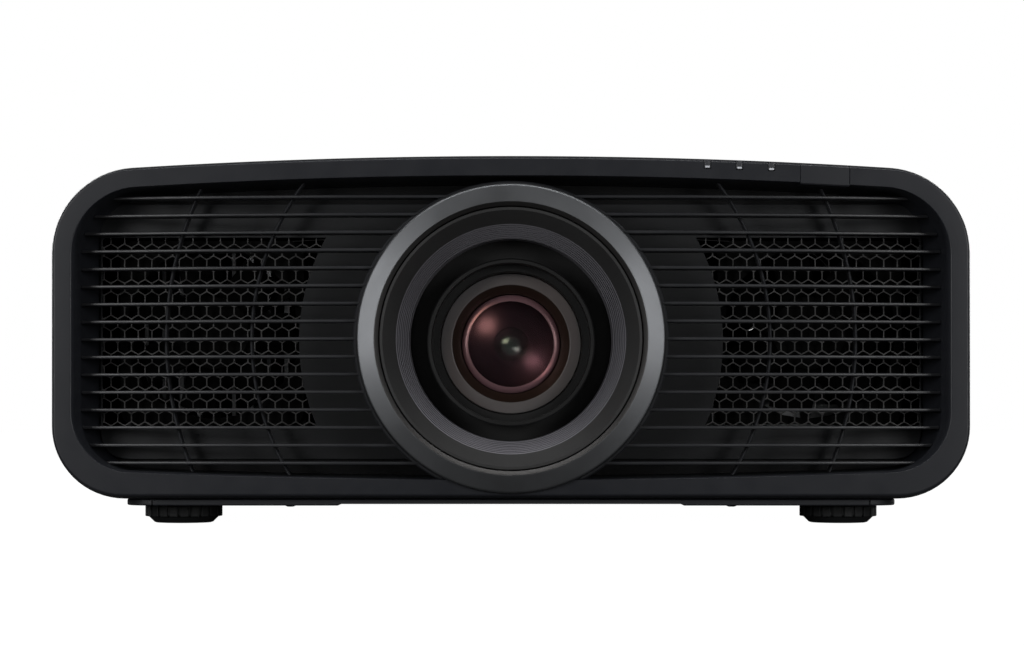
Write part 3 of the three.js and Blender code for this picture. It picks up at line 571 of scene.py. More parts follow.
@dataclass(frozen=True)
class Turned(Metal):
    """Metal or paint with the fine rings that a lathe leaves round the lens axis."""

    pitch: float = 0.00022
    axis_height: float = RING_HEIGHT
    gloss: float = 0.5

    def detail(self, nodes: Nodes) -> None:
        """Adds concentric rings over a smudged surface."""
        distance = nodes.axis_distance(self.axis_height * MM)
        wobble = nodes.maths("MULTIPLY", nodes.noise(220.0, 2.0), 0.00005)
        phase = nodes.maths("MULTIPLY", nodes.maths("ADD", distance, wobble), 2 * math.pi / self.pitch)
        rings = nodes.maths("SINE", phase)
        smudge = nodes.noise(40.0, 4.0)
        nodes.surface(
            Base_Color=nodes.mixed(nodes.spread(smudge, 0.0, 1.0), self.shade(0.9), self.rgba),
            Metallic=self.metallic,
            Roughness=nodes.spread(smudge, self.roughness - 0.03, self.roughness + 0.05),
            Normal=nodes.bump(rings, self.depth),
            Specular_IOR_Level=self.gloss,
        )


@dataclass(frozen=True)
class Glass(Finish):
    """Coated glass, whose reflections take the colour of the coating."""

    coating: Triple = (0.9, 0.5, 0.7)
    clear: float = 0.0
    index: float = 1.6
    level: float = 1.0

    def detail(self, nodes: Nodes) -> None:
        """Adds the coating tint with faint smears."""
        smear = nodes.noise(60.0, 3.0)
        nodes.surface(
            IOR=self.index,
            Roughness=nodes.spread(smear, self.roughness, self.roughness + 0.03),
            Transmission_Weight=self.clear,
            Specular_Tint=(*self.coating, 1.0),
            Specular_IOR_Level=self.level,
        )


@dataclass(frozen=True)
class CircuitBoard(Finish):
    """Green solder mask with copper tracks and pads under it."""

    def detail(self, nodes: Nodes) -> None:
        """Adds tracks as thin cells and a grid of pads."""
        track = nodes.maths("LESS_THAN", nodes.cells(210.0, 0.35, feature="DISTANCE_TO_EDGE"), 0.06)
        pad = nodes.maths("LESS_THAN", nodes.cells(420.0), 0.17)
        copper = nodes.mixed(track, self.rgba, (0.05, 0.16, 0.05, 1))
        nodes.surface(
            Base_Color=nodes.mixed(pad, copper, (0.42, 0.36, 0.2, 1)),
            Roughness=nodes.spread(nodes.noise(80.0), self.roughness, self.roughness + 0.15),
            Metallic=nodes.maths("MULTIPLY", pad, 0.7),
            Normal=nodes.bump(track, 0.00006),
        )


@dataclass(frozen=True)
class Foam(Finish):
    """Open-cell filter foam."""

    def detail(self, nodes: Nodes) -> None:
        """Adds pores as sunken cells, darkened towards their middle as painted shade."""
        pores = nodes.cells(700.0)
        nodes.surface(
            # Painted shade: each pore's middle darkens to 35 per cent of the foam colour.
            Base_Color=nodes.mixed(nodes.spread(pores, 0.0, 1.0), self.shade(0.35), self.rgba),
            Normal=nodes.bump(pores, 0.0008),
        )


@dataclass(frozen=True)
class PaintedGlow(Finish):
    """A clear light guide whose emission paints a glow, stronger near its tip."""

    # Strength of the painted glow.
    strength: float = 0.05

    def detail(self, nodes: Nodes) -> None:
        """Adds streaks along the guide and a faint painted glow by emission."""
        streaks = nodes.noise(900.0, 2.0, (1, 1, 6))
        nodes.surface(
            Roughness=nodes.spread(streaks, self.roughness, self.roughness + 0.2),
            Normal=nodes.bump(streaks, 0.00005),
            # Painted glow: emission in the guide's own colour, varied by the streaks.
            Emission_Color=self.rgba,
            Emission_Strength=nodes.spread(streaks, self.strength * 0.6, self.strength),
            Subsurface_Weight=0.2,
            Subsurface_Radius=(0.001, 0.001, 0.001),
        )


ON_BARREL: dict[str, float] = {"metallic": 0.0, "axis_height": BARREL_HEIGHT}
FINE_RINGS: dict[str, float] = {"depth": 0.0000006, "pitch": 0.0005}


class Finishes:
    """Every finish of the projector."""

    CASE = Moulded("Case paint", (0.019, 0.0203, 0.025), 0.50, 1100.0, 0.000003, 0.03, gloss=0.35)
    COVER = Moulded("Cover paint", (0.0175, 0.0188, 0.023), 0.50, 1100.0, 0.000003, 0.03, gloss=0.35)
    BEZEL = Moulded("Bezel paint", (0.0165, 0.0178, 0.0222), 0.40, 900.0, 0.0000015, 0.03, gloss=0.38)
    SLAT = Moulded("Slat paint", (0.020, 0.021, 0.024), 0.36, 1500.0, 0.00001, 0.06)
    MATT = Moulded("Matt black", (0.0045, 0.0045, 0.005), 0.65, 1100.0, 0.00004, gloss=0.25)
    # Black plastic darkened past the matt black as painted shade for the fans deep inside the case.
    INNER = Moulded("Inner black", (0.002, 0.002, 0.002), 0.7, 900.0, 0.00004, gloss=0.1)
    PAD = Moulded("Pad black", (0.012, 0.013, 0.015), 0.55, 1100.0, 0.00003)
    RUBBER = Moulded("Foot rubber", (0.013, 0.014, 0.015), 0.62, 900.0, 0.00006, 0.2)
    MESH = Moulded("Mesh plastic", (0.115, 0.113, 0.112), 0.5, 1500.0, 0.00002)
    KEY = Moulded("Key plastic", (0.05, 0.05, 0.055), 0.35, 1800.0, 0.00002)
    SOCKET = Moulded("Socket plastic", (0.018, 0.018, 0.020), 0.5, 1200.0, 0.00003)
    SILVER = Turned("Trim silver", (0.165, 0.170, 0.178), 0.44, **FINE_RINGS)
    SILVER_INNER = Turned("Trim inner bevel", (0.075, 0.073, 0.072), 0.46, **FINE_RINGS)
    CONE = Turned("Cone paint", (0.036, 0.036, 0.036), 0.42, metallic=0.0, depth=0.000004)
    RIBBED = Turned("Ribbed ring", (0.19, 0.185, 0.205), 0.42, metallic=0.0, depth=0.000003)
    BARREL = Turned("Barrel black", (0.004, 0.004, 0.004), 0.42, depth=0.000003, **ON_BARREL)
    RETAINER = Turned("Retaining ring", (0.080, 0.079, 0.080), 0.36, depth=0.000003, **ON_BARREL)
    # Partly the bevel's own dark tone, partly a painted reflection: the brown tint stands in for the warm
    # reflection of the coated glass.
    RETAINER_BEVEL_REFLECTION_TINT = Turned("Retaining ring bevel", (0.016, 0.009, 0.006), 0.36, depth=0.000003, **ON_BARREL)
    LENS_CELL = Turned("Lens cell", (0.010, 0.006, 0.008), 0.30, depth=0.000006, pitch=0.0009, **ON_BARREL)
    STEEL = Metal("Sheet steel", (0.50, 0.51, 0.52), 0.38, (1, 22, 1), 160.0)
    NICKEL = Metal("Nickel plate", (0.60, 0.58, 0.54), 0.24, (14, 1, 1), 300.0)
    SCREW = Metal("Blackened screw", (0.045, 0.045, 0.048), 0.36, grain=700.0)
    CAST = Metal("Cast aluminium", (0.48, 0.49, 0.50), 0.5, (1, 1, 1), 900.0, 0.00006)
    FIN = Metal("Milled fins", (0.62, 0.63, 0.64), 0.33, (26, 1, 1), 160.0)
    ANODISED = Metal("Black anodised", (0.030, 0.030, 0.033), 0.40, (1, 1, 1), 1200.0, 0.00002)
    BRASS = Metal("Gear brass", (0.66, 0.47, 0.20), 0.30, (1, 10, 1), 240.0)
    LENS_CENTRE = Glass("Coated glass centre", (0.85, 0.80, 0.82), 0.015, (1.0, 0.70, 0.85), 1.0, level=0.5)
    LENS = Glass("Coated front glass", (0.72, 0.60, 0.66), 0.24, (1.0, 0.64, 0.76), 1.0)
    LENS_INNER = Glass("Coated inner glass", (0.008, 0.022, 0.017), 0.12, (0.52, 1.0, 0.76), index=3.0)
    # Partly the edge's own dark tone, partly painted reflection: the pink in the base colour stands in for
    # the coating's reflection all round the edge.
    LENS_EDGE_PAINTED_PINK = Glass("Coated glass edge", (0.105, 0.062, 0.072), 0.24, (1.0, 0.62, 0.62))
    PRISM = Glass("Prism glass", (0.75, 0.80, 0.82), 0.03, (0.8, 0.9, 1.0), 0.6, 1.52, 0.5)
    SMOKED = Glass("Smoked window", (0.0165, 0.0178, 0.0222), 0.36, (1.0, 1.0, 1.0), 0.0, 1.5, 0.5)
    BOARD = CircuitBoard("Circuit board", (0.012, 0.075, 0.03), 0.35)
    FOAM = Foam("Filter foam", (0.06, 0.06, 0.065), 0.9)
    # Both guide finishes glow by emission: painted glow, stronger on the tip bar.
    GUIDE = PaintedGlow("Light guide", (0.06, 0.062, 0.068), 0.2)
    GUIDE_BAR_GLOW = PaintedGlow("Light guide tip", (0.62, 0.64, 0.68), 0.3, strength=0.12)


def dress(obj: Object, *finishes: Finish) -> Object:
    """Gives an object its finishes, one slot each."""
    obj.data.materials.clear()
    for finish in finishes:
        obj.data.materials.append(finish.make())
    return obj


def assign(obj: Object, slot: int, wanted: FaceTest) -> None:
    """Gives a material slot to the faces whose centre, in metres, passes a test."""
    for polygon in obj.data.polygons:
        if wanted(polygon.center):
            polygon.material_index = slot


def near_axis(radius: float, height: float) -> FaceTest:
    """A test for faces within a radius of the front-to-back line at a height, in millimetres."""
    return lambda c: math.hypot(c.x, c.z - height * MM) < radius * MM


# ------------------------------------------------------------------ repeated pieces


class Field(NodeTree):
    """A small geometry-nodes tree that lays out copies of a piece."""

    def __init__(self, name: str) -> None:
        super().__init__(bpy.data.node_groups.new(name, "GeometryNodeTree"))
        for way in ("INPUT", "OUTPUT"):
            self.tree.interface.new_socket("Geometry", in_out=way, socket_type="NodeSocketGeometry")
        self.group_in = self.tree.nodes.new("NodeGroupInput")
        self.group_out = self.tree.nodes.new("NodeGroupOutput")

    def options(self, **kinds: str) -> list[Socket]:
        """Adds named inputs to the tree and returns their sockets inside, in order."""
        for name, kind in kinds.items():
            self.tree.interface.new_socket(name, in_out="INPUT", socket_type=f"NodeSocket{kind}")
        return [self.group_in.outputs[name] for name in kinds]

    def repeat(self, points: Socket, piece: Socket, **turn: Socket) -> Socket:
        """Puts a copy of a piece object on every point, turned if a Rotation is given."""
        info = self.add("GeometryNodeObjectInfo", {0: piece})
        inputs = {"Points": points, "Instance": info.outputs["Geometry"], **turn}
        return self.add("GeometryNodeInstanceOnPoints", inputs).outputs[0]

    def end(self, geometry: Socket, material: Socket) -> None:
        """Realizes the copies, gives them their material and closes the tree."""
        real = self.add("GeometryNodeRealizeInstances", {0: geometry})
        made = self.add("GeometryNodeSetMaterial", {"Geometry": real.outputs[0], "Material": material})
        self.tree.links.new(made.outputs[0], self.group_out.inputs[0])

    def bake(self, obj: Object, values: dict[str, Any]) -> Object:
        """Runs the tree on an object, keeps the plain mesh and removes the modifier.

        Args:
            obj: The object that the tree works on.
            values: Values of the tree's inputs by name.

        Returns:
            The same object with its new mesh.
        """
        modifier = obj.modifiers.new(self.tree.name, "NODES")
        modifier.node_group = self.tree
        sockets = {s.name: s.identifier for s in self.tree.interface.items_tree if s.in_out == "INPUT"}
        for name, value in values.items():
            modifier[sockets[name]] = value
        obj.update_tag()
        bake_modifiers(obj)
        return tidy(obj, merge=1e-7)


def copies_field() -> Field:
    """A tree that puts a piece on every point, turned to the point's own tilt and spin.

    Returns:
        The tree, with the inputs Piece, Seed, Spin (largest random turn) and Finish.
    """
    tree = Field("Copies on points")
    piece, seed, spin, finish = tree.options(Piece="Object", Seed="Int", Spin="Float", Finish="Material")
    facing = tree.add("GeometryNodeInputNamedAttribute", {"Name": "facing"}, data_type="FLOAT_VECTOR")
    tilt = tree.add("FunctionNodeAlignRotationToVector", {"Vector": facing.outputs[0]}, axis="Z")
    random = tree.add("FunctionNodeRandomValue", {2: 0.0, 3: spin, "Seed": seed}, data_type="FLOAT")
    around = tree.add("FunctionNodeAxisAngleToRotation", {"Axis": UPWARDS, "Angle": random.outputs[1]})
    inputs = {0: tilt.outputs[0], 1: around.outputs[0]}
    both = tree.add("FunctionNodeRotateRotation", inputs, rotation_space="LOCAL")
    points = tree.add("GeometryNodeMeshToPoints", {"Mesh": tree.group_in.outputs[0]})
    tree.end(tree.repeat(points.outputs[0], piece, Rotation=both.outputs[0]), finish)
    return tree


def ring_field() -> Field:
    """A tree that repeats a piece round the object's own Z axis through a centre.

    Returns:
        The tree, with the inputs Piece, Count, Radius, Centre and Finish.
    """
    tree = Field("Copies round a ring")
    piece, count, radius, centre, finish = tree.options(
        Piece="Object", Count="Int", Radius="Float", Centre="Vector", Finish="Material"
    )
    ring = tree.add("GeometryNodeMeshCircle", {"Vertices": count, "Radius": radius}, fill_type="NONE")
    index = tree.add("GeometryNodeInputIndex").outputs[0]
    angle = tree.maths("MULTIPLY", tree.maths("DIVIDE", index, count), 2 * math.pi)
    turn = tree.add("FunctionNodeAxisAngleToRotation", {"Axis": UPWARDS, "Angle": angle})
    copies = tree.repeat(ring.outputs[0], piece, Rotation=turn.outputs[0])
    moved = tree.add("GeometryNodeTransform", {"Geometry": copies, "Translation": centre})
    tree.end(moved.outputs[0], finish)
    return tree


def honeycomb_field() -> Field:
    """A tree that stacks a cell in staggered rows and leaves the cells near the lens out.

    Returns:
        The tree, with the inputs Cell, Pitch, Columns, Rows, Start, Least (radius about the
        lens), Lens (its height) and Finish.
    """
    tree = Field("Honeycomb")
    cell, pitch, columns, rows, start, least, lens, finish = tree.options(
        Cell="Object", Pitch="Float", Columns="Int", Rows="Int",
        Start="Vector", Least="Float", Lens="Float", Finish="Material",
    )
    points = tree.add("GeometryNodePoints", {"Count": tree.maths("MULTIPLY", columns, rows)})
    index = tree.add("GeometryNodeInputIndex").outputs[0]
    row = tree.maths("FLOOR", tree.maths("DIVIDE", index, columns))
    column = tree.maths("MODULO", index, columns)
    stagger = tree.maths("MULTIPLY", tree.maths("MODULO", row, 2.0), 0.5)
    x = tree.maths("MULTIPLY", tree.maths("ADD", column, stagger), pitch)
    z = tree.maths("MULTIPLY", row, tree.maths("MULTIPLY", pitch, math.sqrt(3) / 2))
    place = tree.add("ShaderNodeCombineXYZ", {0: x, 2: z}).outputs[0]
    where = tree.add("ShaderNodeVectorMath", {0: place, 1: start}, operation="ADD").outputs[0]
    put = tree.add("GeometryNodeSetPosition", {"Geometry": points.outputs[0], "Position": where})
    split = tree.add("ShaderNodeSeparateXYZ", {0: tree.add("GeometryNodeInputPosition").outputs[0]})
    rise = tree.maths("SUBTRACT", split.outputs[2], lens)
    flat = tree.add("ShaderNodeCombineXYZ", {0: split.outputs[0], 2: rise}).outputs[0]
    reach = tree.add("ShaderNodeVectorMath", {0: flat}, operation="LENGTH").outputs["Value"]
    near = tree.add("FunctionNodeCompare", {0: reach, 1: least}, operation="LESS_THAN").outputs[0]
    kept = tree.add("GeometryNodeDeleteGeometry", {0: put.outputs[0], 1: near}, domain="POINT")
    tree.end(tree.repeat(kept.outputs[0], cell), finish)
    return tree


class Fields:
    """The geometry-nodes trees, each built once."""

    made: dict[str, Field] = {}

    @classmethod
    def get(cls, maker: Callable[[], Field]) -> Field:
        """Returns the tree that a maker builds, building it the first time."""
        key = maker.__name__
        if key not in cls.made:
            cls.made[key] = maker()
        return cls.made[key]


def scattered(name: str, piece: Object, places: Sequence[Triple], facing: Triple, finish: Finish,
              seed: int = 7, spin: float = 6.2) -> Object:
    """Copies of a piece at given places, all facing one way, each with its own random turn.

    Args:
        name: Name of the object.
        piece: The piece, built round the origin and facing +Z; it is removed afterwards.
        places: The position of each copy, in millimetres.
        facing: The direction that the copies face.
        finish: The finish of every copy.
        seed: Seed of the random turns.
        spin: The largest random turn, in radians.

    Returns:
        The new object.
    """
    obj = new_object(name, [Vector(p) * MM for p in places], [])
    directions = obj.data.attributes.new("facing", "FLOAT_VECTOR", "POINT")
    for entry in directions.data:
        entry.vector = facing
    values = {"Piece": piece, "Seed": seed, "Spin": spin, "Finish": finish.make()}
    Fields.get(copies_field).bake(obj, values)
    bpy.data.objects.remove(piece)
    return obj


def ringed(name: str, piece: Object, count: int, radius: float, centre: Triple,
           finish: Finish) -> Object:
    """Copies of a piece round a vertical axis; the piece is removed afterwards.

    Args:
        name: Name of the object.
        piece: The piece, built round the origin with its outer side towards +X.
        count: Number of copies.
        radius: Distance of the copies from the axis, in millimetres.
        centre: Centre of the ring, in millimetres.
        finish: The finish of every copy.

    Returns:
        The new object.
    """
    obj = new_object(name, [(0, 0, 0)], [])
    values = {
        "Piece": piece,
        "Count": count,
        "Radius": radius * MM,
        "Centre": Vector(centre) * MM,
        "Finish": finish.make(),
    }
    Fields.get(ring_field).bake(obj, values)
    bpy.data.objects.remove(piece)
    return obj


def screw(name: str, radius: float = 2.7, recess: float = 1.2) -> Object:
    """A pan-head screw facing +Z with a cross recess, sunk half a millimetre."""
    head = turned(name, [
        (0, recess), (radius * 0.55, recess - 0.1), (radius * 0.9, recess * 0.6), (radius, 0.15),
        (radius, -0.5), (0, -0.5),
    ], (0, 0), Axis.Z, 20)
    arm, tip = radius * 0.55, radius * 0.14
    bars = [block("bar", (-arm, -tip, recess - 0.7), (arm, tip, recess + 1), 0),
            block("bar", (-tip, -arm, recess - 0.7), (tip, arm, recess + 1), 0)]
    return boolean(head, bars)


# ------------------------------------------------------------------ sub-assemblies


@dataclass
class Assembly:
    """A group of pieces that belong together."""

    pieces: list[Object] = field(default_factory=list, init=False)

    def place(self, obj: Object, body: str, slot: str, replaced: Sequence[str] = ()) -> Object:
        """Sets a finished piece to ride on a body.

        Args:
            obj: The piece.
            body: The body that carries it.
            slot: The record's material slot that its finish stands for; not used.
            replaced: The frame's nodes that it stands for.

        Returns:
            The piece.
        """
        even_shading(obj)
        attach(obj, body)
        if replaced:
            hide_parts(*replaced)
        self.pieces.append(obj)
        return obj

    def build(self) -> None:
        """Makes every piece of the group."""
        raise NotImplementedError

    def report(self) -> None:
        """Logs each piece with its triangle count."""
        for obj in self.pieces:
            obj.data.calc_loop_triangles()
            LOG.info("%s: %s, %d triangles", type(self).__name__, obj.name, len(obj.data.loop_triangles))


def section(points: Sequence[Pair], y: float) -> Loop:
    """A front-view outline set at a depth, in metres."""
    return [Axis.Y.place(x, z, y) for x, z in points]


FOOT_SPOTS: dict[str, Pair] = {
    "front_left": (-165.5, -187),
    "front_right": (165.5, -187),
    "rear_left": (-165.5, 187),
    "rear_right": (165.5, 187),
}


@dataclass
class CaseShells(Assembly):
    """The lower case, the top cover and the raised plate under the case."""

    wall: float = 3.0
    front: float = -199.7
    rear: float = 239.5
    rounding: float = 1.2
    seam_low: float = 132.6
    seam_high: float = 132.9
    boss_radius: float = 10.0
    boss_top: float = 33.0
    stud_hole: float = 4.4
    skirt: Triple = (190.5, 226, 18)
    skirt_span: Pair = (9.5, 12.6)

    def shell(self, name: str, upper: bool) -> Object:
        """One of the two shells as a bent wall with a rounded rear edge."""
        height = self.seam_high if upper else self.seam_low
        half, lead = CASE_OUTLINE.half, 0.5 if upper else -0.5

        def wall(inset: float) -> list[Pair]:
            path = CASE_OUTLINE.path_above if upper else CASE_OUTLINE.path_below
            outer = path(height + lead, inset)
            ends = [(half - inset - 0.5, height), (inset + 0.5 - half, height)]
            return [ends[0], *outer, ends[1]] + list(reversed(path(height, self.wall)))

        round_start = self.rear - self.rounding
        depths = [(y, 0.0) for y in (self.front, self.front + 60, self.rear - 60, round_start)]
        depths += [
            (self.rear - self.rounding * (1 - math.sin(a)), self.rounding * (1 - math.cos(a)))
            for a in (0.4, 0.8, 1.2, QUARTER)
        ]
        return skin(name, [section(wall(inset), y) for y, inset in depths], closed=False)

    def build(self) -> None:
        """Makes both shells and the plate."""
        lower = self.shell("bottom_case_shell", upper=False)
        bore, radius, top = self.stud_hole, self.boss_radius, self.boss_top
        cut = [(0, 8), (bore, 8), (bore, 40), (0, 40)]
        wall = [(bore, 15.9), (radius, 15.9), (radius, top - 1), (radius - 1, top), (bore, top)]
        holes = [turned("hole", cut, spot, Axis.Z, 32) for spot in FOOT_SPOTS.values()]
        bosses = [turned("boss", wall, spot, Axis.Z, 40) for spot in FOOT_SPOTS.values()]
        lower = merged("lower_shell", [boolean(lower, holes), *bosses])
        self.place(dress(lower, Finishes.CASE), CASE, "satin_black", ["bottom_case"])
        cover = self.shell("upper_shell", upper=True)
        self.place(dress(cover, Finishes.COVER), CASE, "satin_black", ["top_cover"])
        self.build_skirt()

    def build_skirt(self) -> None:
        """Makes the plate under the case, its middle field and its screws."""
        x, y, corner = self.skirt
        outline = rounded([(-x, -y, corner), (x, -y, corner), (x, y, corner), (-x, y, corner)], 8)
        holes = [circle(self.stud_hole + 0.2, 24, spot) for spot in FOOT_SPOTS.values()]
        plate = filled("skirt_plate", outline, holes, self.skirt_span, Axis.Z, 0.7)
        recess = block("field", (-85, -y - 9, 4), (85, y + 9, self.skirt_span[0] + 0.8), 0)
        seams = [block("seam", (x - 0.35, -y - 5, 5), (x + 0.35, 1.2 - y, 20), 0) for x in (-176, 176)]
        plate = boolean(plate, [recess, *seams])
        self.place(dress(plate, Finishes.COVER), CASE, "matt_black", ["base_skirt"])
        spots = [(a, b, self.skirt_span[0]) for a in (-110, 110) for b in (-205, -70, 70, 205)]
        heads = scattered("skirt_screws", screw("screw"), spots, (0, 0, -1), Finishes.SCREW, 11)
        self.place(heads, CASE, "matt_black")


@dataclass
class FrontFrame(Assembly):
    """The wide front frame with its window, the sensor window and the light guides."""

    face: float = -234.0
    back: float = -200.0
    rim: tuple[Pair, ...] = (
        (0.0, 9.0), (0.15, 7.0), (0.45, 5.0), (0.85, 3.0), (1.2, 1.6),
        (1.4, 1.0), (1.62, 0.58), (1.92, 0.26), (2.3, 0.08), (2.8, 0.0),
    )
    throat_depth: float = 5.0
    throat_steps: int = 8
    middle_depth: float = 20.0
    sensor: Triple = (140.8, 165.2, 12)
    sensor_lip: float = 1.0
    gap: float = 0.3
    guide_xs: Triple = (95.7, 111.3, 126.9)
    guide_size: Pair = (3.0, 3.8)
    guide_drop: float = 3.3

    @staticmethod
    def crown(outline: Outline, x: float) -> float:
        """Height of an outline's upper edge at a distance from the middle."""
        return outline.top - outline.top_arc + math.sqrt(outline.top_arc**2 - x**2)

    def build(self) -> None:
        """Makes the frame, the windows and the guides."""
        loops = [section(CASE_OUTLINE.points(), self.back)]
        loops += [section(CASE_OUTLINE.points(inset), self.face + back) for inset, back in self.rim]
        pairs = list(zip(WINDOW_FACE.points(), WINDOW_THROAT.points()))
        for i in range(self.throat_steps + 1):
            a = QUARTER * i / self.throat_steps
            turn = math.sin(a)
            blend = [(x0 + (x1 - x0) * turn, z0 + (z1 - z0) * turn) for (x0, z0), (x1, z1) in pairs]
            loops.append(section(blend, self.face + self.throat_depth * (1 - math.cos(a))))
        loops.append(section(WINDOW_MIDDLE.points(), self.face + self.middle_depth))
        loops.append(section(WINDOW_BACK.points(), self.back))
        frame_body = skin("front_frame", loops, closed=True)
        start, end, deep = self.sensor
        cuts = [block("notch", (start, self.face - 5, 150), (end, self.face + deep, 190), 0)]
        wide, tall = self.guide_size
        side, rise = wide / 2 + self.gap, tall / 2 + self.gap
        for x in self.guide_xs:
            z = self.crown(CASE_OUTLINE, x) - self.guide_drop
            low, high = (x - side, self.face - 5, z - rise), (x + side, self.face + 10, z + rise)
            cuts.append(block("pocket", low, high, 0))
        self.place(dress(boolean(frame_body, cuts), Finishes.BEZEL), CASE, "satin_black", ["front_bezel"])
        self.build_sensor()
        self.build_guides()

    def build_sensor(self) -> None:
        """Makes the window that closes the notch in the upper band."""
        start, end, deep = self.sensor
        start, end = start + self.gap / 2, end - self.gap / 2
        stations = [(start, 0.25), (start + 0.25, 0.0)]
        stations += [(start + (end - start) * i / 8, 0.0) for i in range(1, 8)]
        stations += [(end - 0.25, 0.0), (end, 0.25)]
        loops = []
        for x, shrink in stations:
            top = self.crown(CASE_OUTLINE, x) - shrink
            low = self.crown(WINDOW_FACE, x) - self.sensor_lip + shrink
            front = self.face + shrink
            rim = [(front + back, top - inset) for inset, back in self.rim]
            end_y = self.face + deep - 0.1
            profile = [(end_y, top), *rim, (front, low + 0.6), (front + 0.6, low), (end_y, low)]
            loops.append([Vector((x, y, z)) * MM for y, z in profile])
        window = skin("sensor_window", loops, closed=False)
        self.place(dress(window, Finishes.SMOKED), CASE, "smoked_window", ["sensor_window_front"])

    def build_guides(self) -> None:
        """Makes the three light guides and the bar inside each, which carries a stronger painted glow."""
        wide, tall = self.guide_size
        for x, name in zip(self.guide_xs, ("left", "middle", "right")):
            z = self.crown(CASE_OUTLINE, x) - self.guide_drop
            front = self.face - 0.2
            low, high = (x - wide / 2, front, z - tall / 2), (x + wide / 2, self.face + 9, z + tall / 2)
            body = block("guide", low, high, 0.35)
            tip = block("tip", (x - 1.1, front - 0.06, z - 1.75), (x + 1.1, front + 0.6, z - 0.85), 0.1)
            guide = merged(f"light_guide_{name}", [body, tip])
            dress(guide, Finishes.GUIDE, Finishes.GUIDE_BAR_GLOW)
            assign(guide, 1, lambda c: c.y < (front + 0.03) * MM and c.z < (z - 0.8) * MM)
            self.place(guide, CASE, "light_guide", [f"status_light_{name}"])


@dataclass
class Grille(Assembly):
    """The slats, the arc struts and the collar round the lens."""

    count: int = 16
    first: float = 30.4
    pitch: float = 8.69
    thick: float = 1.6
    depth: float = 13.0
    start: float = 20.0
    run: float = 196.0
    steps: int = 40
    collar: Pair = (75.2, 77.3)
    strut_radii: Pair = (127.8, 170.5)
    strut_thick: float = 1.2
    strut_depth: float = 7.0
    strut_fronts: Pair = (-222, -217)
    strut_steps: int = 48
    reach: float = math.radians(40)
    sweep: tuple[Pair, ...] = ((20, -230.5), (90, -230), (150, -225.5), (216, -216.5))

    def edge_at(self, x: float) -> float:
        """Depth of the slats' front edge, smoothed between the points of the sweep."""
        for (x0, y0), (x1, y1) in zip(self.sweep, self.sweep[1:]):
            if x <= x1:
                t = (x - x0) / (x1 - x0)
                return y0 + (y1 - y0) * t
        return self.sweep[-1][1]

    def slat(self) -> Object:
        """One slat on the right, centred on height zero, thinner towards the back."""
        half = self.thick / 2
        profile = [
            (0, -half + 0.5), (0.15, -half + 0.15), (0.5, -half), (self.depth, -half * 0.75),
            (self.depth, half * 0.75), (0.5, half), (0.15, half - 0.15), (0, half - 0.5),
        ]
        loops = []
        for i in range(self.steps + 1):
            x = self.start + self.run * i / self.steps
            smooth = sum(self.edge_at(x + d) for d in (-9, -4.5, 0, 4.5, 9)) / 5
            loops.append([Vector((x, smooth + y, z)) * MM for y, z in profile])
        return skin("slat", loops, closed=False)

    def strut(self, radius: float, front: float) -> Object:
        """One arc strut on the right, concentric with the lens ring."""
        half, depth = self.strut_thick / 2, self.strut_depth
        profile = [
            (half, 0.4), (half, depth), (-half, depth), (-half, 0.4), (-half + 0.4, 0), (half - 0.4, 0),
        ]
        loops = []
        for i in range(self.strut_steps + 1):
            a = self.reach * (i / (self.strut_steps / 2) - 1)
            rays = [((radius + r) * math.cos(a), (radius + r) * math.sin(a), y) for r, y in profile]
            loops.append([Vector((x, front + y, RING_HEIGHT + rise)) * MM for x, rise, y in rays])
        return skin("strut", loops, closed=False)

    @staticmethod
    def plug() -> Object:
        """The space inside the window, less a small gap, which trims what reaches past it."""
        gap = 0.3
        stations = [
            (WINDOW_FACE, -240), (WINDOW_FACE, -234), (WINDOW_THROAT, -229), (WINDOW_MIDDLE, -214),
            (WINDOW_BACK, -200),
        ]
        return skin("plug", [section(outline.points(gap), y) for outline, y in stations], closed=False)

    def build(self) -> None:
        """Repeats the slat, trims it to the window and the collar, and adds the rest."""
        axis = (0, RING_HEIGHT)
        rows = [(0, 0, self.first + i * self.pitch) for i in range(self.count)]
        slats = scattered("slats", self.slat(), rows, UPWARDS, Finishes.SLAT, spin=0.0)
        low, high = self.collar
        inner = (low + high) / 2
        core = turned("core", [(0, -240), (inner, -240), (inner, -190), (0, -190)], axis, sides=160)
        struts = merged("struts", [self.strut(r, y) for r, y in zip(self.strut_radii, self.strut_fronts)])
        right = [
            boolean(piece, [self.plug()], "INTERSECT") for piece in (boolean(slats, [core]), struts)
        ]
        left = [mirrored(piece, f"left_{piece.name}") for piece in right]
        ring = turned("collar", [
            (low, -229.4), (low + 0.6, -230), (high - 0.6, -230), (high, -229.4), (high, -206), (low, -206),
        ], axis, sides=160)
        grille = merged("grille", [*right, *left, ring])
        self.place(dress(grille, Finishes.SLAT), CASE, "slat_black", ["front_grille"])


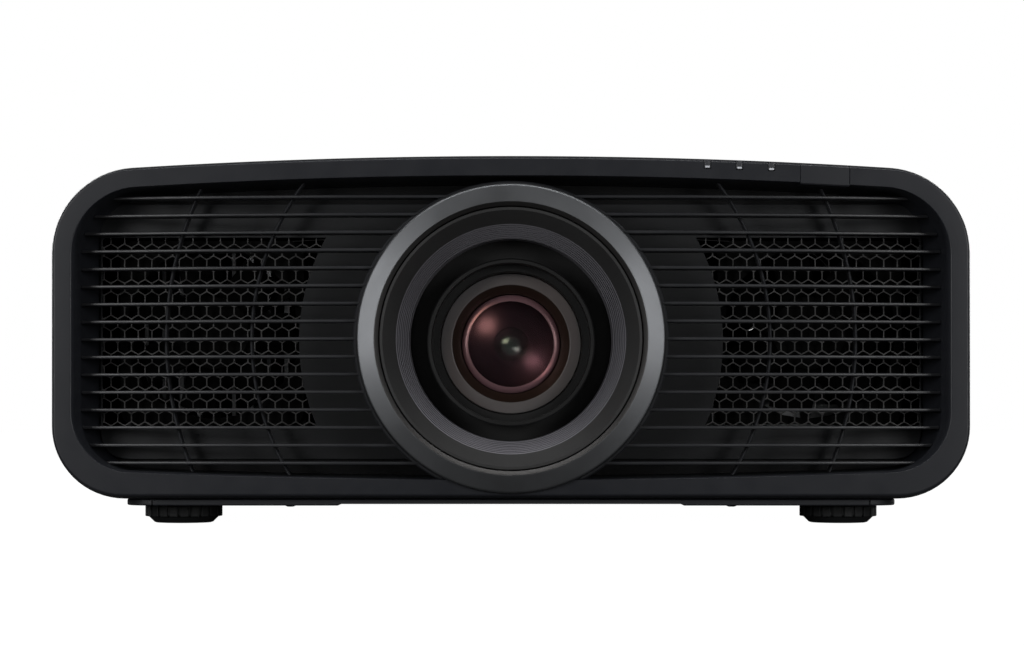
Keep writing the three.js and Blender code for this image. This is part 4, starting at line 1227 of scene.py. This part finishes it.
@dataclass
class MeshField(Assembly):
    """The honeycomb plates and the dark panel that holds them."""

    pitch: float = 6.85
    strand: float = 0.6
    front: float = -201.2
    thick: float = 1.0
    inner: float = 87.2
    outer: float = 204.2
    low: float = 47.8
    high: float = 142.6
    arc_radius: float = 106.0
    pad: Box = (0.5, 205.2, 32, 159.5)
    pad_corner: float = 15.0
    pad_span: Pair = (-202.5, -201.4)
    pad_hole: float = 73.0
    panel_span: Pair = (-199.7, -197.7)
    panel_hole: float = 68.5

    def opening(self, grow: float = 0.0) -> list[Pair]:
        """The opening on the right: straight sides and an arc about the lens."""
        radius = self.arc_radius - grow
        low, high = self.low - grow, self.high + grow
        low_angle = math.asin((low - RING_HEIGHT) / radius)
        high_angle = math.asin((high - RING_HEIGHT) / radius)
        bow = arc((0, RING_HEIGHT), radius, high_angle, low_angle, 24)
        outer = self.outer + grow
        corners = rounded([(outer, low, 2.5), (outer, high, 2.5), (*bow[0], 0.0), (*bow[-1], 0.0)], 5)
        return corners[:-1] + bow[1:]

    def cell(self) -> Object:
        """One cell of the honeycomb: six walls about the origin, its points up and down."""
        outer = self.pitch / math.sqrt(3)
        inner = outer - self.strand / math.sqrt(3)
        ring = [(outer, 0), (outer, self.thick), (inner, self.thick), (inner, 0.12), (inner + 0.12, 0)]
        loops = []
        for a in (math.radians(30 + 60 * k) for k in range(6)):
            loops.append([Vector((r * math.cos(a), y, r * math.sin(a))) * MM for r, y in ring])
        return skin("cell", loops, closed=True)

    def build(self) -> None:
        """Makes the honeycomb, its mirror image and the panel."""
        obj = new_object("mesh_plate_right", [(0, 0, 0)], [])
        cell = self.cell()
        values = {
            "Cell": cell,
            "Pitch": self.pitch * MM,
            "Columns": int((self.outer - self.inner) / self.pitch) + 2,
            "Rows": int((self.high - self.low) / (self.pitch * math.sqrt(3) / 2)) + 2,
            "Start": Vector((self.inner, self.front, self.low - 1)) * MM,
            "Least": (self.arc_radius - 4) * MM,
            "Lens": RING_HEIGHT * MM,
            "Finish": Finishes.MESH.make(),
        }
        Fields.get(honeycomb_field).bake(obj, values)
        bpy.data.objects.remove(cell)
        left = mirrored(obj, "mesh_plate_left")
        self.place(dress(obj, Finishes.MESH), CASE, "matt_black", ["mesh_right"])
        self.place(dress(left, Finishes.MESH), CASE, "matt_black", ["mesh_left"])
        self.build_panel()

    def build_panel(self) -> None:
        """Makes the dark panel with its raised pads, one hole for the lens and two for the mesh."""
        axis = (0, RING_HEIGHT)
        hole = self.opening(2.0)
        left_hole = [(-x, z) for x, z in hole]
        holes = [hole, left_hole, circle(self.panel_hole, 96, axis)]
        panel = filled("panel", CASE_OUTLINE.points(3.3), holes, self.panel_span, edge=0.2)
        x0, x1, z0, z1 = self.pad
        corner = self.pad_corner
        shape = rounded([(x0, z0, 0), (x1, z0, corner), (x1, z1, corner), (x0, z1, 0)], 8)
        pad = filled("pad", shape, [self.opening()], self.pad_span, edge=0.3)
        radius, front, back = self.pad_hole, self.pad_span[0] - 5, self.pad_span[1] + 5
        lens_hole = turned("bore", [(0, front), (radius, front), (radius, back), (0, back)], axis, sides=120)
        pad = boolean(pad, [lens_hole])
        left_pad = mirrored(pad, "left_pad")
        whole = merged("inner_panel", [panel, left_pad, pad])
        dress(whole, Finishes.MATT, Finishes.PAD)
        limit = (self.pad_span[1] + 0.5) * MM
        assign(whole, 1, lambda c: c.y < limit)
        self.place(whole, CASE, "matt_black", ["front_baffle"])


@dataclass
class LensSurround(Assembly):
    """The silver trim ring and the dark stepped cone behind it."""

    outer: float = 75.5
    inner: float = 64.4
    front: float = -239.5
    root: float = -223.0
    grooves: int = 8
    cone: tuple[Pair, Pair] = ((62.5, -237.6), (56.4, -228.0))
    throat: Pair = (50.1, -217.0)

    def build(self) -> None:
        """Makes the ring and the cone."""
        axis = (0, RING_HEIGHT)
        inner, outer, front, root = self.inner, self.outer, self.front, self.root
        bevel = [(inner, root), (inner, front + 1.7), (inner + 0.2, front + 1.3), (inner + 1.8, front + 0.15)]
        face = [(inner + 2.1, front), (inner + 2.4, front + 0.03), (inner + 2.8, front + 0.15)]
        edge = [
            (outer - 1.6, front + 2.28), (outer - 1.2, front + 2.42), (outer - 0.8, front + 2.6),
            (outer - 0.3, front + 3.1), (outer, front + 3.9), (outer, front + 5.2),
        ]
        behind = [(inner + 2, front + 5.2), (inner + 2, root)]
        ring = turned("trim_ring", [*bevel, *face, *edge, *behind], axis, sides=192)
        dress(ring, Finishes.SILVER, Finishes.SILVER_INNER)
        assign(ring, 1, near_axis(inner + 1.95, RING_HEIGHT))
        self.place(ring, CASE, "trim_silver", ["lens_trim_ring"])

        (lip_radius, lip_y), (cone_radius, cone_y) = self.cone
        throat_radius, throat_y = self.throat
        steps: list[Pair] = []
        rise, run = (cone_radius - throat_radius) / self.grooves, (throat_y - cone_y) / self.grooves
        for i in range(self.grooves):
            radius, y = cone_radius - i * rise, cone_y + i * run
            steps += [
                (radius, y), (radius - rise * 0.58, y + run * 0.5), (radius - rise * 0.6, y + run * 1.7),
                (radius - rise * 0.96, y + run * 1.7),
            ]
        funnel = [
            (lip_radius, lip_y), (cone_radius + 0.4, cone_y - 0.5), *steps, (throat_radius, throat_y + 0.3),
            (throat_radius, -202.5), (66, -202.5), (66, -205), (52.4, -205), (52.4, -214), (58.6, -221),
            (58.6, -226), (63.9, -230), (63.9, lip_y + 0.2), (63.7, lip_y),
        ]
        cone = turned("lens_cone", funnel, axis, sides=160)
        dress(cone, Finishes.CONE, Finishes.RIBBED)
        in_ring = near_axis(cone_radius + 0.1, RING_HEIGHT)
        assign(cone, 1, lambda c: c.y > cone_y * MM and in_ring(c))
        self.place(cone, CASE, "matt_black", ["lens_funnel"])


@dataclass
class ZoomLens(Assembly):
    """The barrel with its front ring and glasses, carried by the lens carriage."""

    radius: float = 41.5
    front: float = -217.5
    shield: float = -197.0
    body: str = "lens_carriage"

    @staticmethod
    def dome(radius: float, apex: float, rim: float, steps: int = 20) -> list[Pair]:
        """Profile of a glass face from its middle to its rim."""
        return [(radius * i / steps, apex + (rim - apex) * (i / steps) ** 2) for i in range(steps + 1)]

    def build(self) -> None:
        """Makes the barrel, the ring, the cells behind it and the glasses."""
        axis = (0, BARREL_HEIGHT)
        rim, front, shield = self.radius, self.front, self.shield
        barrel = turned("barrel", [
            (39, front + 0.5), (39.4, front), (rim - 0.6, front), (rim, front + 0.6), (rim, front + 18),
            (rim - 0.5, front + 18.4), (rim - 0.5, front + 19.4), (rim, front + 19.8), (rim, shield),
            (56, shield), (56, shield + 1.5), (rim, shield + 1.5), (rim, -72), (22, -72), (22, -186),
            (25.2, -186), (25.2, -190), (35.4, -190), (35.4, -206.6), (35.8, -207), (39, -207),
        ], axis, sides=160)
        self.place(dress(barrel, Finishes.BARREL), self.body, "anodised_black", ["lens_barrel"])
        ring = turned("front_ring", [
            (29.4, -199), (29.9, -199.3), (34.8, -199.3), (35.1, -199), (35.1, -190.3),
            (25.2, -190.3), (25.2, -193.6), (25.6, -194),
        ], axis, sides=160)
        dress(ring, Finishes.RETAINER, Finishes.RETAINER_BEVEL_REFLECTION_TINT)
        assign(ring, 1, near_axis(29.3, BARREL_HEIGHT))
        self.place(ring, self.body, "anodised_black", ["lens_front_ring"])
        front_face = self.dome(21.4, -197.2, -193)
        glass = turned("front_glass", [*front_face, (21.5, -186.3), (0, -184)], axis, sides=128)
        dress(glass, Finishes.LENS, Finishes.LENS_CENTRE)
        assign(glass, 1, near_axis(8.4, BARREL_HEIGHT))
        self.place(glass, self.body, "coated_glass", ["front_lens"])
        edge = turned("glass_edge", [
            (21.6, -193), (22.4, -192.86), (23.2, -192.62), (24.0, -192.28), (24.7, -191.6), (24.9, -191),
            (24.9, -186.3), (21.6, -186.3),
        ], axis, sides=128)
        self.place(dress(edge, Finishes.LENS_EDGE_PAINTED_PINK), self.body, "coated_glass")
        cell = turned("lens_cell", [
            (21.7, -182), (21.3, -182), (16.4, -179.2), (16.1, -178.2), (12.4, -176.4), (12.1, -175.4),
            (7.9, -173.2), (7.6, -172.4), (7.6, -169), (21.7, -169),
        ], axis, sides=128)
        self.place(dress(cell, Finishes.LENS_CELL), self.body, "anodised_black")
        middle_face = self.dome(7.5, -176.2, -172.0, 16)
        middle = turned("middle_glass", [*middle_face, (7.5, -169.5), (0, -169.5)], axis, sides=64)
        self.place(dress(middle, Finishes.LENS_INNER), self.body, "coated_glass")
        inner_face = reversed(self.dome(21.4, -158, -153)[:-1])
        inner = turned("inner_glass", [(0, -143), (21.7, -146), (21.7, -152), *inner_face], axis, sides=96)
        self.place(dress(inner, Finishes.LENS_INNER), self.body, "coated_glass", ["inner_lens"])


@dataclass
class Foot(Assembly):
    """One screw-in foot: a fluted knob and its threaded stud."""

    name: str
    spot: Pair
    radius: float = 19.3
    tall: float = 9.2
    chamfer: float = 3.8
    flutes: int = 22
    stud_radius: float = 4.0
    stud_span: Pair = (3.3, 29.0)
    thread: float = 1.25

    def build(self) -> None:
        """Makes the knob with its ribs, and the stud."""
        x, y = self.spot
        core, bore, chamfer, tall = self.radius - 0.8, self.stud_radius + 0.6, self.chamfer, self.tall
        knob = turned("core", [
            (0, 0), (core - chamfer - 1, 0), (core - chamfer, 0.3), (core - 0.4, chamfer - 0.2),
            (core, chamfer + 0.6), (core, tall - 0.7), (core - 0.7, tall), (bore, tall), (bore, 3), (0, 3),
        ], self.spot, Axis.Z, 96)
        dress(knob, Finishes.RUBBER)
        rib = block("rib", (-1.6, -2.1, chamfer - 0.6), (0.8, 2.1, tall - 0.5), 0.45)
        ribs = ringed("ribs", rib, self.flutes, core, (x, y, 0), Finishes.RUBBER)
        whole = merged(f"knob_{self.name}", [knob, ribs])
        knob_body, stud_body = f"foot_knob_{self.name}", f"foot_stud_{self.name}"
        self.place(dress(whole, Finishes.RUBBER), knob_body, "foot_rubber", [knob_body])
        low, high = self.stud_span
        crest, root, end = self.stud_radius, self.stud_radius - 0.55, self.stud_radius - 0.6
        profile: list[Pair] = [(0, low), (end, low)]
        turns = int((high - low - 2) / self.thread)
        for i in range(turns):
            z = low + 0.6 + i * self.thread
            profile += [(root, z), (crest, z + self.thread / 2)]
        profile += [(root, low + 0.6 + turns * self.thread), (end, high), (0, high)]
        stud = turned(f"stud_{self.name}", profile, self.spot, Axis.Z, 40)
        self.place(dress(stud, Finishes.STEEL), stud_body, "sheet_steel", [stud_body])


@dataclass
class RearWall(Assembly):
    """The rear wall, the filter cover, the jack panel, the mains inlet and the keys."""

    span: Pair = (231.0, 234.0)
    filter_half: float = 118.0
    filter_low: float = 92.0
    filter_high: float = 150.0
    cover_span: Pair = (234.3, 237.5)
    cover_border: float = 7.0
    louvres: int = 6
    jacks: Box = (-125, 112, 30, 66)
    jack_span: Pair = (222.0, 224.0)
    inlet: Pair = (160, 46)
    sensor: Pair = (160, 120)
    key_start: float = -192.0
    key_pitch: float = 14.0
    key_height: float = 56.0
    key_radius: float = 4.5
    keys: tuple[str, ...] = ("key_power", "key_input", "key_menu", "key_back", "key_ok")
    sockets: tuple[Box, ...] = (
        (-100, 44, 15, 5.6), (-72, 44, 15, 5.6), (-42, 46, 12.6, 10), (-14, 44, 12.6, 5.4),
        (22, 45, 18, 8.6), (56, 44, 5, 5), (84, 45, 10, 10),
    )
    round_jack: float = 5.0
    screws: tuple[Pair, ...] = (
        (-205, 80), (-205, 150), (205, 80), (205, 150), (-60, 165), (60, 165),
        (-140, 24), (0, 24), (125, 24), (205, 30), (-205, 32),
    )

    @staticmethod
    def rectangle(x0: float, x1: float, z0: float, z1: float, radius: float = 2.0) -> list[Pair]:
        """A rounded rectangle."""
        return rounded([(x0, z0, radius), (x1, z0, radius), (x1, z1, radius), (x0, z1, radius)], 5)

    def about(self, centre: Pair, half_wide: float, half_tall: float, radius: float) -> list[Pair]:
        """A rounded rectangle about a centre."""
        x, z = centre
        return self.rectangle(x - half_wide, x + half_wide, z - half_tall, z + half_tall, radius)

    def key_spots(self) -> list[Pair]:
        """The centres of the keys."""
        return [(self.key_start + i * self.key_pitch, self.key_height) for i in range(len(self.keys))]

    def build(self) -> None:
        """Makes every piece of the rear wall."""
        x0, x1, z0, z1 = self.jacks
        half, low, high = self.filter_half, self.filter_low, self.filter_high
        holes = [
            self.rectangle(-half + 5, half - 5, low + 5, high - 5, 3),
            self.rectangle(x0 + 4, x1 - 4, z0 + 4, z1 - 4, 3),
            self.about(self.inlet, 14.3, 11.3, 2),
            circle(6.3, 48, self.sensor),
            *(circle(self.key_radius + 0.3, 48, spot) for spot in self.key_spots()),
        ]
        wall = filled("wall", CASE_OUTLINE.points(3.3), holes, self.span, edge=0.5)
        tray = block("tray", (x0, 224.3, z0 - 3), (x1, 232, z0 - 1), 0.3)
        wall = merged("rear_wall", [wall, tray])
        self.place(dress(wall, Finishes.COVER), CASE, "satin_black", ["rear_panel"])
        spots = [(x, self.span[1] + 0.1, z) for x, z in self.screws]
        heads = scattered("rear_screws", screw("screw"), spots, BACKWARDS, Finishes.SCREW, 5)
        self.place(heads, CASE, "matt_black")
        self.build_cover()
        self.build_jacks()
        self.build_inlet()
        self.build_keys()

    def build_cover(self) -> None:
        """Makes the louvred cover that pulls off."""
        half, low, high, border = self.filter_half, self.filter_low, self.filter_high, self.cover_border
        outline = self.rectangle(-half, half, low, high, 4)
        opening = self.rectangle(-half + border, half - border, low + border, high - border, 2)
        frame_plate = filled("cover", outline, [opening], self.cover_span, edge=0.7)
        pitch = (high - low - 2 * border) / self.louvres
        front, back = self.cover_span[0] + 0.3, self.cover_span[1] - 0.5
        louvre = block("louvre", (-half + border - 1, front, -1.2), (half - border + 1, back, 1.2), 0.5)
        rows = [(0, 0, low + border + (i + 0.5) * pitch) for i in range(self.louvres)]
        louvres = scattered("louvres", louvre, rows, UPWARDS, Finishes.COVER, spin=0.0)
        spine = block("spine", (-1.5, front, low + border - 1), (1.5, back, high - border + 1), 0.4)
        tab = block("tab", (-14, 237.2, high - 5.4), (14, 238.4, high - 1.6), 0.5)
        cover = merged("rear_filter_cover", [frame_plate, louvres, spine, tab])
        self.place(dress(cover, Finishes.COVER), "filter_cover", "satin_black", ["filter_cover"])

    def socket_outline(self, socket: Box, grow: float, corner: float) -> list[Pair]:
        """Outline of a socket's mouth with a margin round it: a circle for the round jack.

        Args:
            socket: The centre, width and height of the mouth.
            grow: Width of the margin.
            corner: Radius of the corners.

        Returns:
            The points of the outline.
        """
        x, z, wide, tall = socket
        if wide == tall == self.round_jack:
            return circle(tall / 2 + grow, 32, (x, z))
        return self.about((x, z), wide / 2 + grow, tall / 2 + grow, corner)

    def build_jacks(self) -> None:
        """Makes the jack panel with its sockets, their tongues and its screws."""
        x0, x1, z0, z1 = self.jacks
        front, back = self.jack_span
        mouths = [self.socket_outline(socket, 0.0, 0.8) for socket in self.sockets]
        plate = filled("jack_plate", self.rectangle(x0, x1, z0, z1, 1.5), mouths, (front, back), edge=0.25)
        shells, tongues = [plate], []
        for mouth, socket in zip(mouths, self.sockets):
            rim = self.socket_outline(socket, 1.4, 1.6)
            shells.append(filled("shell", rim, [mouth], (front - 15, back + 1.5), edge=0.25))
            shells.append(filled("floor", rim, [], (front - 15.6, front - 15.1)))
            x, z, wide, tall = socket
            if wide != tall:
                reach = wide / 2 - 1.6
                low, high = (x - reach, front - 14, z - 0.5), (x + reach, back - 1, z + 0.5)
                tongues.append(block("tongue", low, high, 0.15))
        feet = [block("foot", (x - 8, front - 12, 32), (x + 8, front + 0.5, 35), 0.3) for x in (-110, 100)]
        panel = merged("jack_panel", [*shells, *feet])
        self.place(dress(panel, Finishes.ANODISED), CASE, "sheet_steel", ["terminal_panel"])
        self.place(dress(merged("jack_tongues", tongues), Finishes.SOCKET), CASE, "matt_black")
        spots = [(x, back + 0.1, z1 - 8) for x in (x0 + 14, -2, x1 - 8)]
        heads = scattered("jack_screws", screw("screw", 2.0, 0.9), spots, BACKWARDS, Finishes.NICKEL, 3)
        self.place(heads, CASE, "sheet_steel")

    def build_inlet(self) -> None:
        """Makes the mains inlet with its three pins."""
        x, z = self.inlet
        shape = ((-12.2, -8.4), (12.2, -8.4), (12.2, 4.4), (8.2, 8.4), (-8.2, 8.4), (-12.2, 4.4))
        mouth = rounded([(x + a, z + b, 1) for a, b in shape], 4)
        wall = self.about(self.inlet, 14, 11, 1.5)
        flange = filled("flange", self.about(self.inlet, 17, 13, 3), [mouth], (234.3, 236.4), edge=0.5)
        parts = [flange, filled("body", wall, [mouth], (216, 234.5)), filled("floor", wall, [], (212, 216.2))]
        self.place(dress(merged("inlet_body", parts), Finishes.SOCKET), CASE, "matt_black", ["ac_inlet"])
        spots = [(x + a, z + b) for a, b in ((-6, -1), (0, 2.4), (6, -1))]
        pins = [block("pin", (a - 1, 214, b - 2.2), (a + 1, 232, b + 2.2), 0.4) for a, b in spots]
        self.place(dress(merged("inlet_pins", pins), Finishes.NICKEL), CASE, "sheet_steel")

    def build_keys(self) -> None:
        """Makes the five keys and the rear sensor window."""
        radius = self.key_radius
        for key, centre in zip(self.keys, self.key_spots()):
            cap = turned(f"{key}_cap", [
                (0, 228.5), (radius + 1.5, 228.5), (radius + 1.5, 230.7), (radius, 230.7), (radius, 235.2),
                (radius - 0.2, 235.55), (radius - 0.6, 235.8), (radius * 0.5, 235.55), (0, 235.45),
            ], centre, sides=48)
            self.place(dress(cap, Finishes.KEY), key, "satin_black", [key])
        window = turned("rear_sensor", [
            (0, 229), (6, 229), (6, 234.4), (5.6, 234.8), (3, 235.1), (0, 235.2),
        ], self.sensor, sides=48)
        self.place(dress(window, Finishes.SMOKED), CASE, "smoked_window", ["sensor_window_rear"])


@dataclass
class Internals(Assembly):
    """Everything inside, which keeps the frame's own shapes and gets real finishes."""

    finishes: tuple[tuple[Finish, tuple[str, ...]], ...] = (
        (Finishes.STEEL, ("chassis_plate", "lens_mount", "focus_motor", "zoom_motor", "power_supply")),
        (Finishes.CAST, ("shift_plate", "lens_carriage", "laser_module")),
        (Finishes.FIN, ("heat_sink",)),
        (Finishes.MATT, ("focus_ring", "zoom_ring", "optical_block")),
        (Finishes.MATT, ("panel_red", "panel_green", "panel_blue")),
        # The fans take the darker black, which paints in the shade inside the case.
        (Finishes.INNER, ("fan_frame_left", "fan_frame_right", "fan_rotor_left", "fan_rotor_right")),
        (Finishes.BRASS, ("focus_pinion", "zoom_pinion")),
        (Finishes.PRISM, ("prism",)),
        (Finishes.BOARD, ("main_board",)),
        (Finishes.FOAM, ("air_filter",)),
    )

    def build(self) -> None:
        """Puts each finish on its nodes."""
        for finish, names in self.finishes:
            for name in names:
                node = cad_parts[name]
                for slot in node.material_slots:
                    slot.material = finish.make()
                self.pieces.append(node)


# ------------------------------------------------------------------ studio


GLASSES = ("front_glass", "middle_glass", "inner_glass")
LENS_PARTS = (*GLASSES, "glass_edge", "lens_cell", "front_ring")


@dataclass(frozen=True)
class Softbox:
    """A rectangular studio light aimed at a point, in metres and watts."""

    name: str
    place: Triple
    aim: Triple
    size: Pair
    power: float
    colour: Triple = (1.0, 1.0, 1.0)
    for_lens: bool = False

    def build(self) -> None:
        """Adds the light to the scene."""
        data = bpy.data.lights.new(self.name, "AREA")
        data.shape = "RECTANGLE"
        data.size, data.size_y = self.size
        data.energy = self.power
        data.color = self.colour
        light = linked(self.name, data)
        light.location = self.place
        light.rotation_euler = (Vector(self.aim) - Vector(self.place)).to_track_quat("-Z", "Y").to_euler()
        light.visible_camera = False
        self.limit(light)

    def limit(self, light: Object) -> None:
        """Keeps kickers on the lens alone, and the large lights off its coated glass.

        Args:
            light: The light object just added.
        """
        group = bpy.data.collections.new(f"{self.name} receivers")
        for name in LENS_PARTS if self.for_lens else GLASSES:
            group.objects.link(bpy.data.objects[name])
        light.light_linking.receiver_collection = group
        for entry in group.collection_objects:
            entry.light_linking.link_state = "INCLUDE" if self.for_lens else "EXCLUDE"


@dataclass(frozen=True)
class Studio:
    """Camera, soft lights, pale floor and white surroundings."""

    camera_place: Triple = (0.0, -1.431, 0.047)
    lens: float = 86.4
    shift: Pair = (0.001, 0.1042)
    softboxes: tuple[Softbox, ...] = (
        Softbox("Left softbox", (-0.86, -1.30, 0.34), (0, -0.23, 0.10), (0.42, 0.55), 5.9),
        Softbox("Right softbox", (0.86, -1.30, 0.30), (0, -0.23, 0.08), (0.42, 0.55), 5.2),
        Softbox("Overhead", (0, -0.45, 1.15), (0, -0.25, 0.10), (1.8, 0.2), 7.5),
        Softbox("Rear left softbox", (-1.25, 1.35, 0.75), (0, 0.15, 0.08), (0.9, 0.9), 17),
        Softbox("Rear right softbox", (1.25, 1.35, 0.65), (0, 0.15, 0.08), (0.9, 0.9), 15),
        Softbox(
            "Left kicker", (-0.115, -0.40, 0.185), (0, -0.197, 0.09), (0.07, 0.07), 0.085,
            colour=(1.0, 0.70, 0.55), for_lens=True,
        ),
        Softbox(
            "Right kicker", (0.10, -0.40, 0.01), (0, -0.197, 0.09), (0.06, 0.06), 0.055,
            colour=(1.0, 0.66, 0.68), for_lens=True,
        ),
    )
    surround: float = 1.0
    ambient: float = 0.06

    def build(self) -> None:
        """Sets the whole stage."""
        bpy.context.scene.view_settings.view_transform = "Standard"
        self.build_world()
        for box in self.softboxes:
            box.build()
        data = bpy.data.cameras.new("Camera")
        data.lens = self.lens
        data.sensor_width = 36.0
        data.shift_x, data.shift_y = self.shift
        data.dof.use_dof = False
        data.clip_start, data.clip_end = 0.05, 60
        camera = linked("Camera", data)
        camera.location = self.camera_place
        camera.rotation_euler = (QUARTER, 0, 0)
        bpy.context.scene.camera = camera
        self.floor()

    def build_world(self) -> None:
        """White behind the object, dim as a light."""
        world = bpy.data.worlds.new("Studio")
        bpy.context.scene.world = world
        world.use_nodes = True
        tree = world.node_tree
        background = tree.nodes["Background"]
        background.inputs["Color"].default_value = (1, 1, 1, 1)
        path = tree.nodes.new("ShaderNodeLightPath")
        strength = tree.nodes.new("ShaderNodeMapRange")
        strength.inputs[3].default_value = self.ambient
        strength.inputs[4].default_value = self.surround
        tree.links.new(path.outputs["Is Camera Ray"], strength.inputs[0])
        tree.links.new(strength.outputs[0], background.inputs["Strength"])

    def floor(self) -> Object:
        """A plain pale floor."""
        floor = new_object("floor", [(-30, -30, 0), (30, -30, 0), (30, 30, 0), (-30, 30, 0)], [(0, 1, 2, 3)])
        made = bpy.data.materials.new("Studio floor")
        made.use_nodes = True
        tree = made.node_tree
        shader = tree.nodes["Principled BSDF"]
        shader.inputs["Base Color"].default_value = (0.12, 0.12, 0.12, 1)
        shader.inputs["Roughness"].default_value = 0.9
        shader.inputs["Specular IOR Level"].default_value = 0.0
        shader.inputs["Emission Color"].default_value = (1, 1, 1, 1)
        path = tree.nodes.new("ShaderNodeLightPath")
        tree.links.new(path.outputs["Is Camera Ray"], shader.inputs["Emission Strength"])
        floor.data.materials.append(made)
        return floor


def main() -> None:
    """Builds every sub-assembly and sets the stage."""
    logging.basicConfig(level=logging.INFO, format="%(message)s")
    assemblies: list[Assembly] = [
        CaseShells(),
        FrontFrame(),
        Grille(),
        MeshField(),
        LensSurround(),
        ZoomLens(),
        *(Foot(name, spot) for name, spot in FOOT_SPOTS.items()),
        RearWall(),
        Internals(),
    ]
    for assembly in assemblies:
        assembly.build()
        assembly.report()
    Studio().build()


if __name__ == "__main__":
    main()
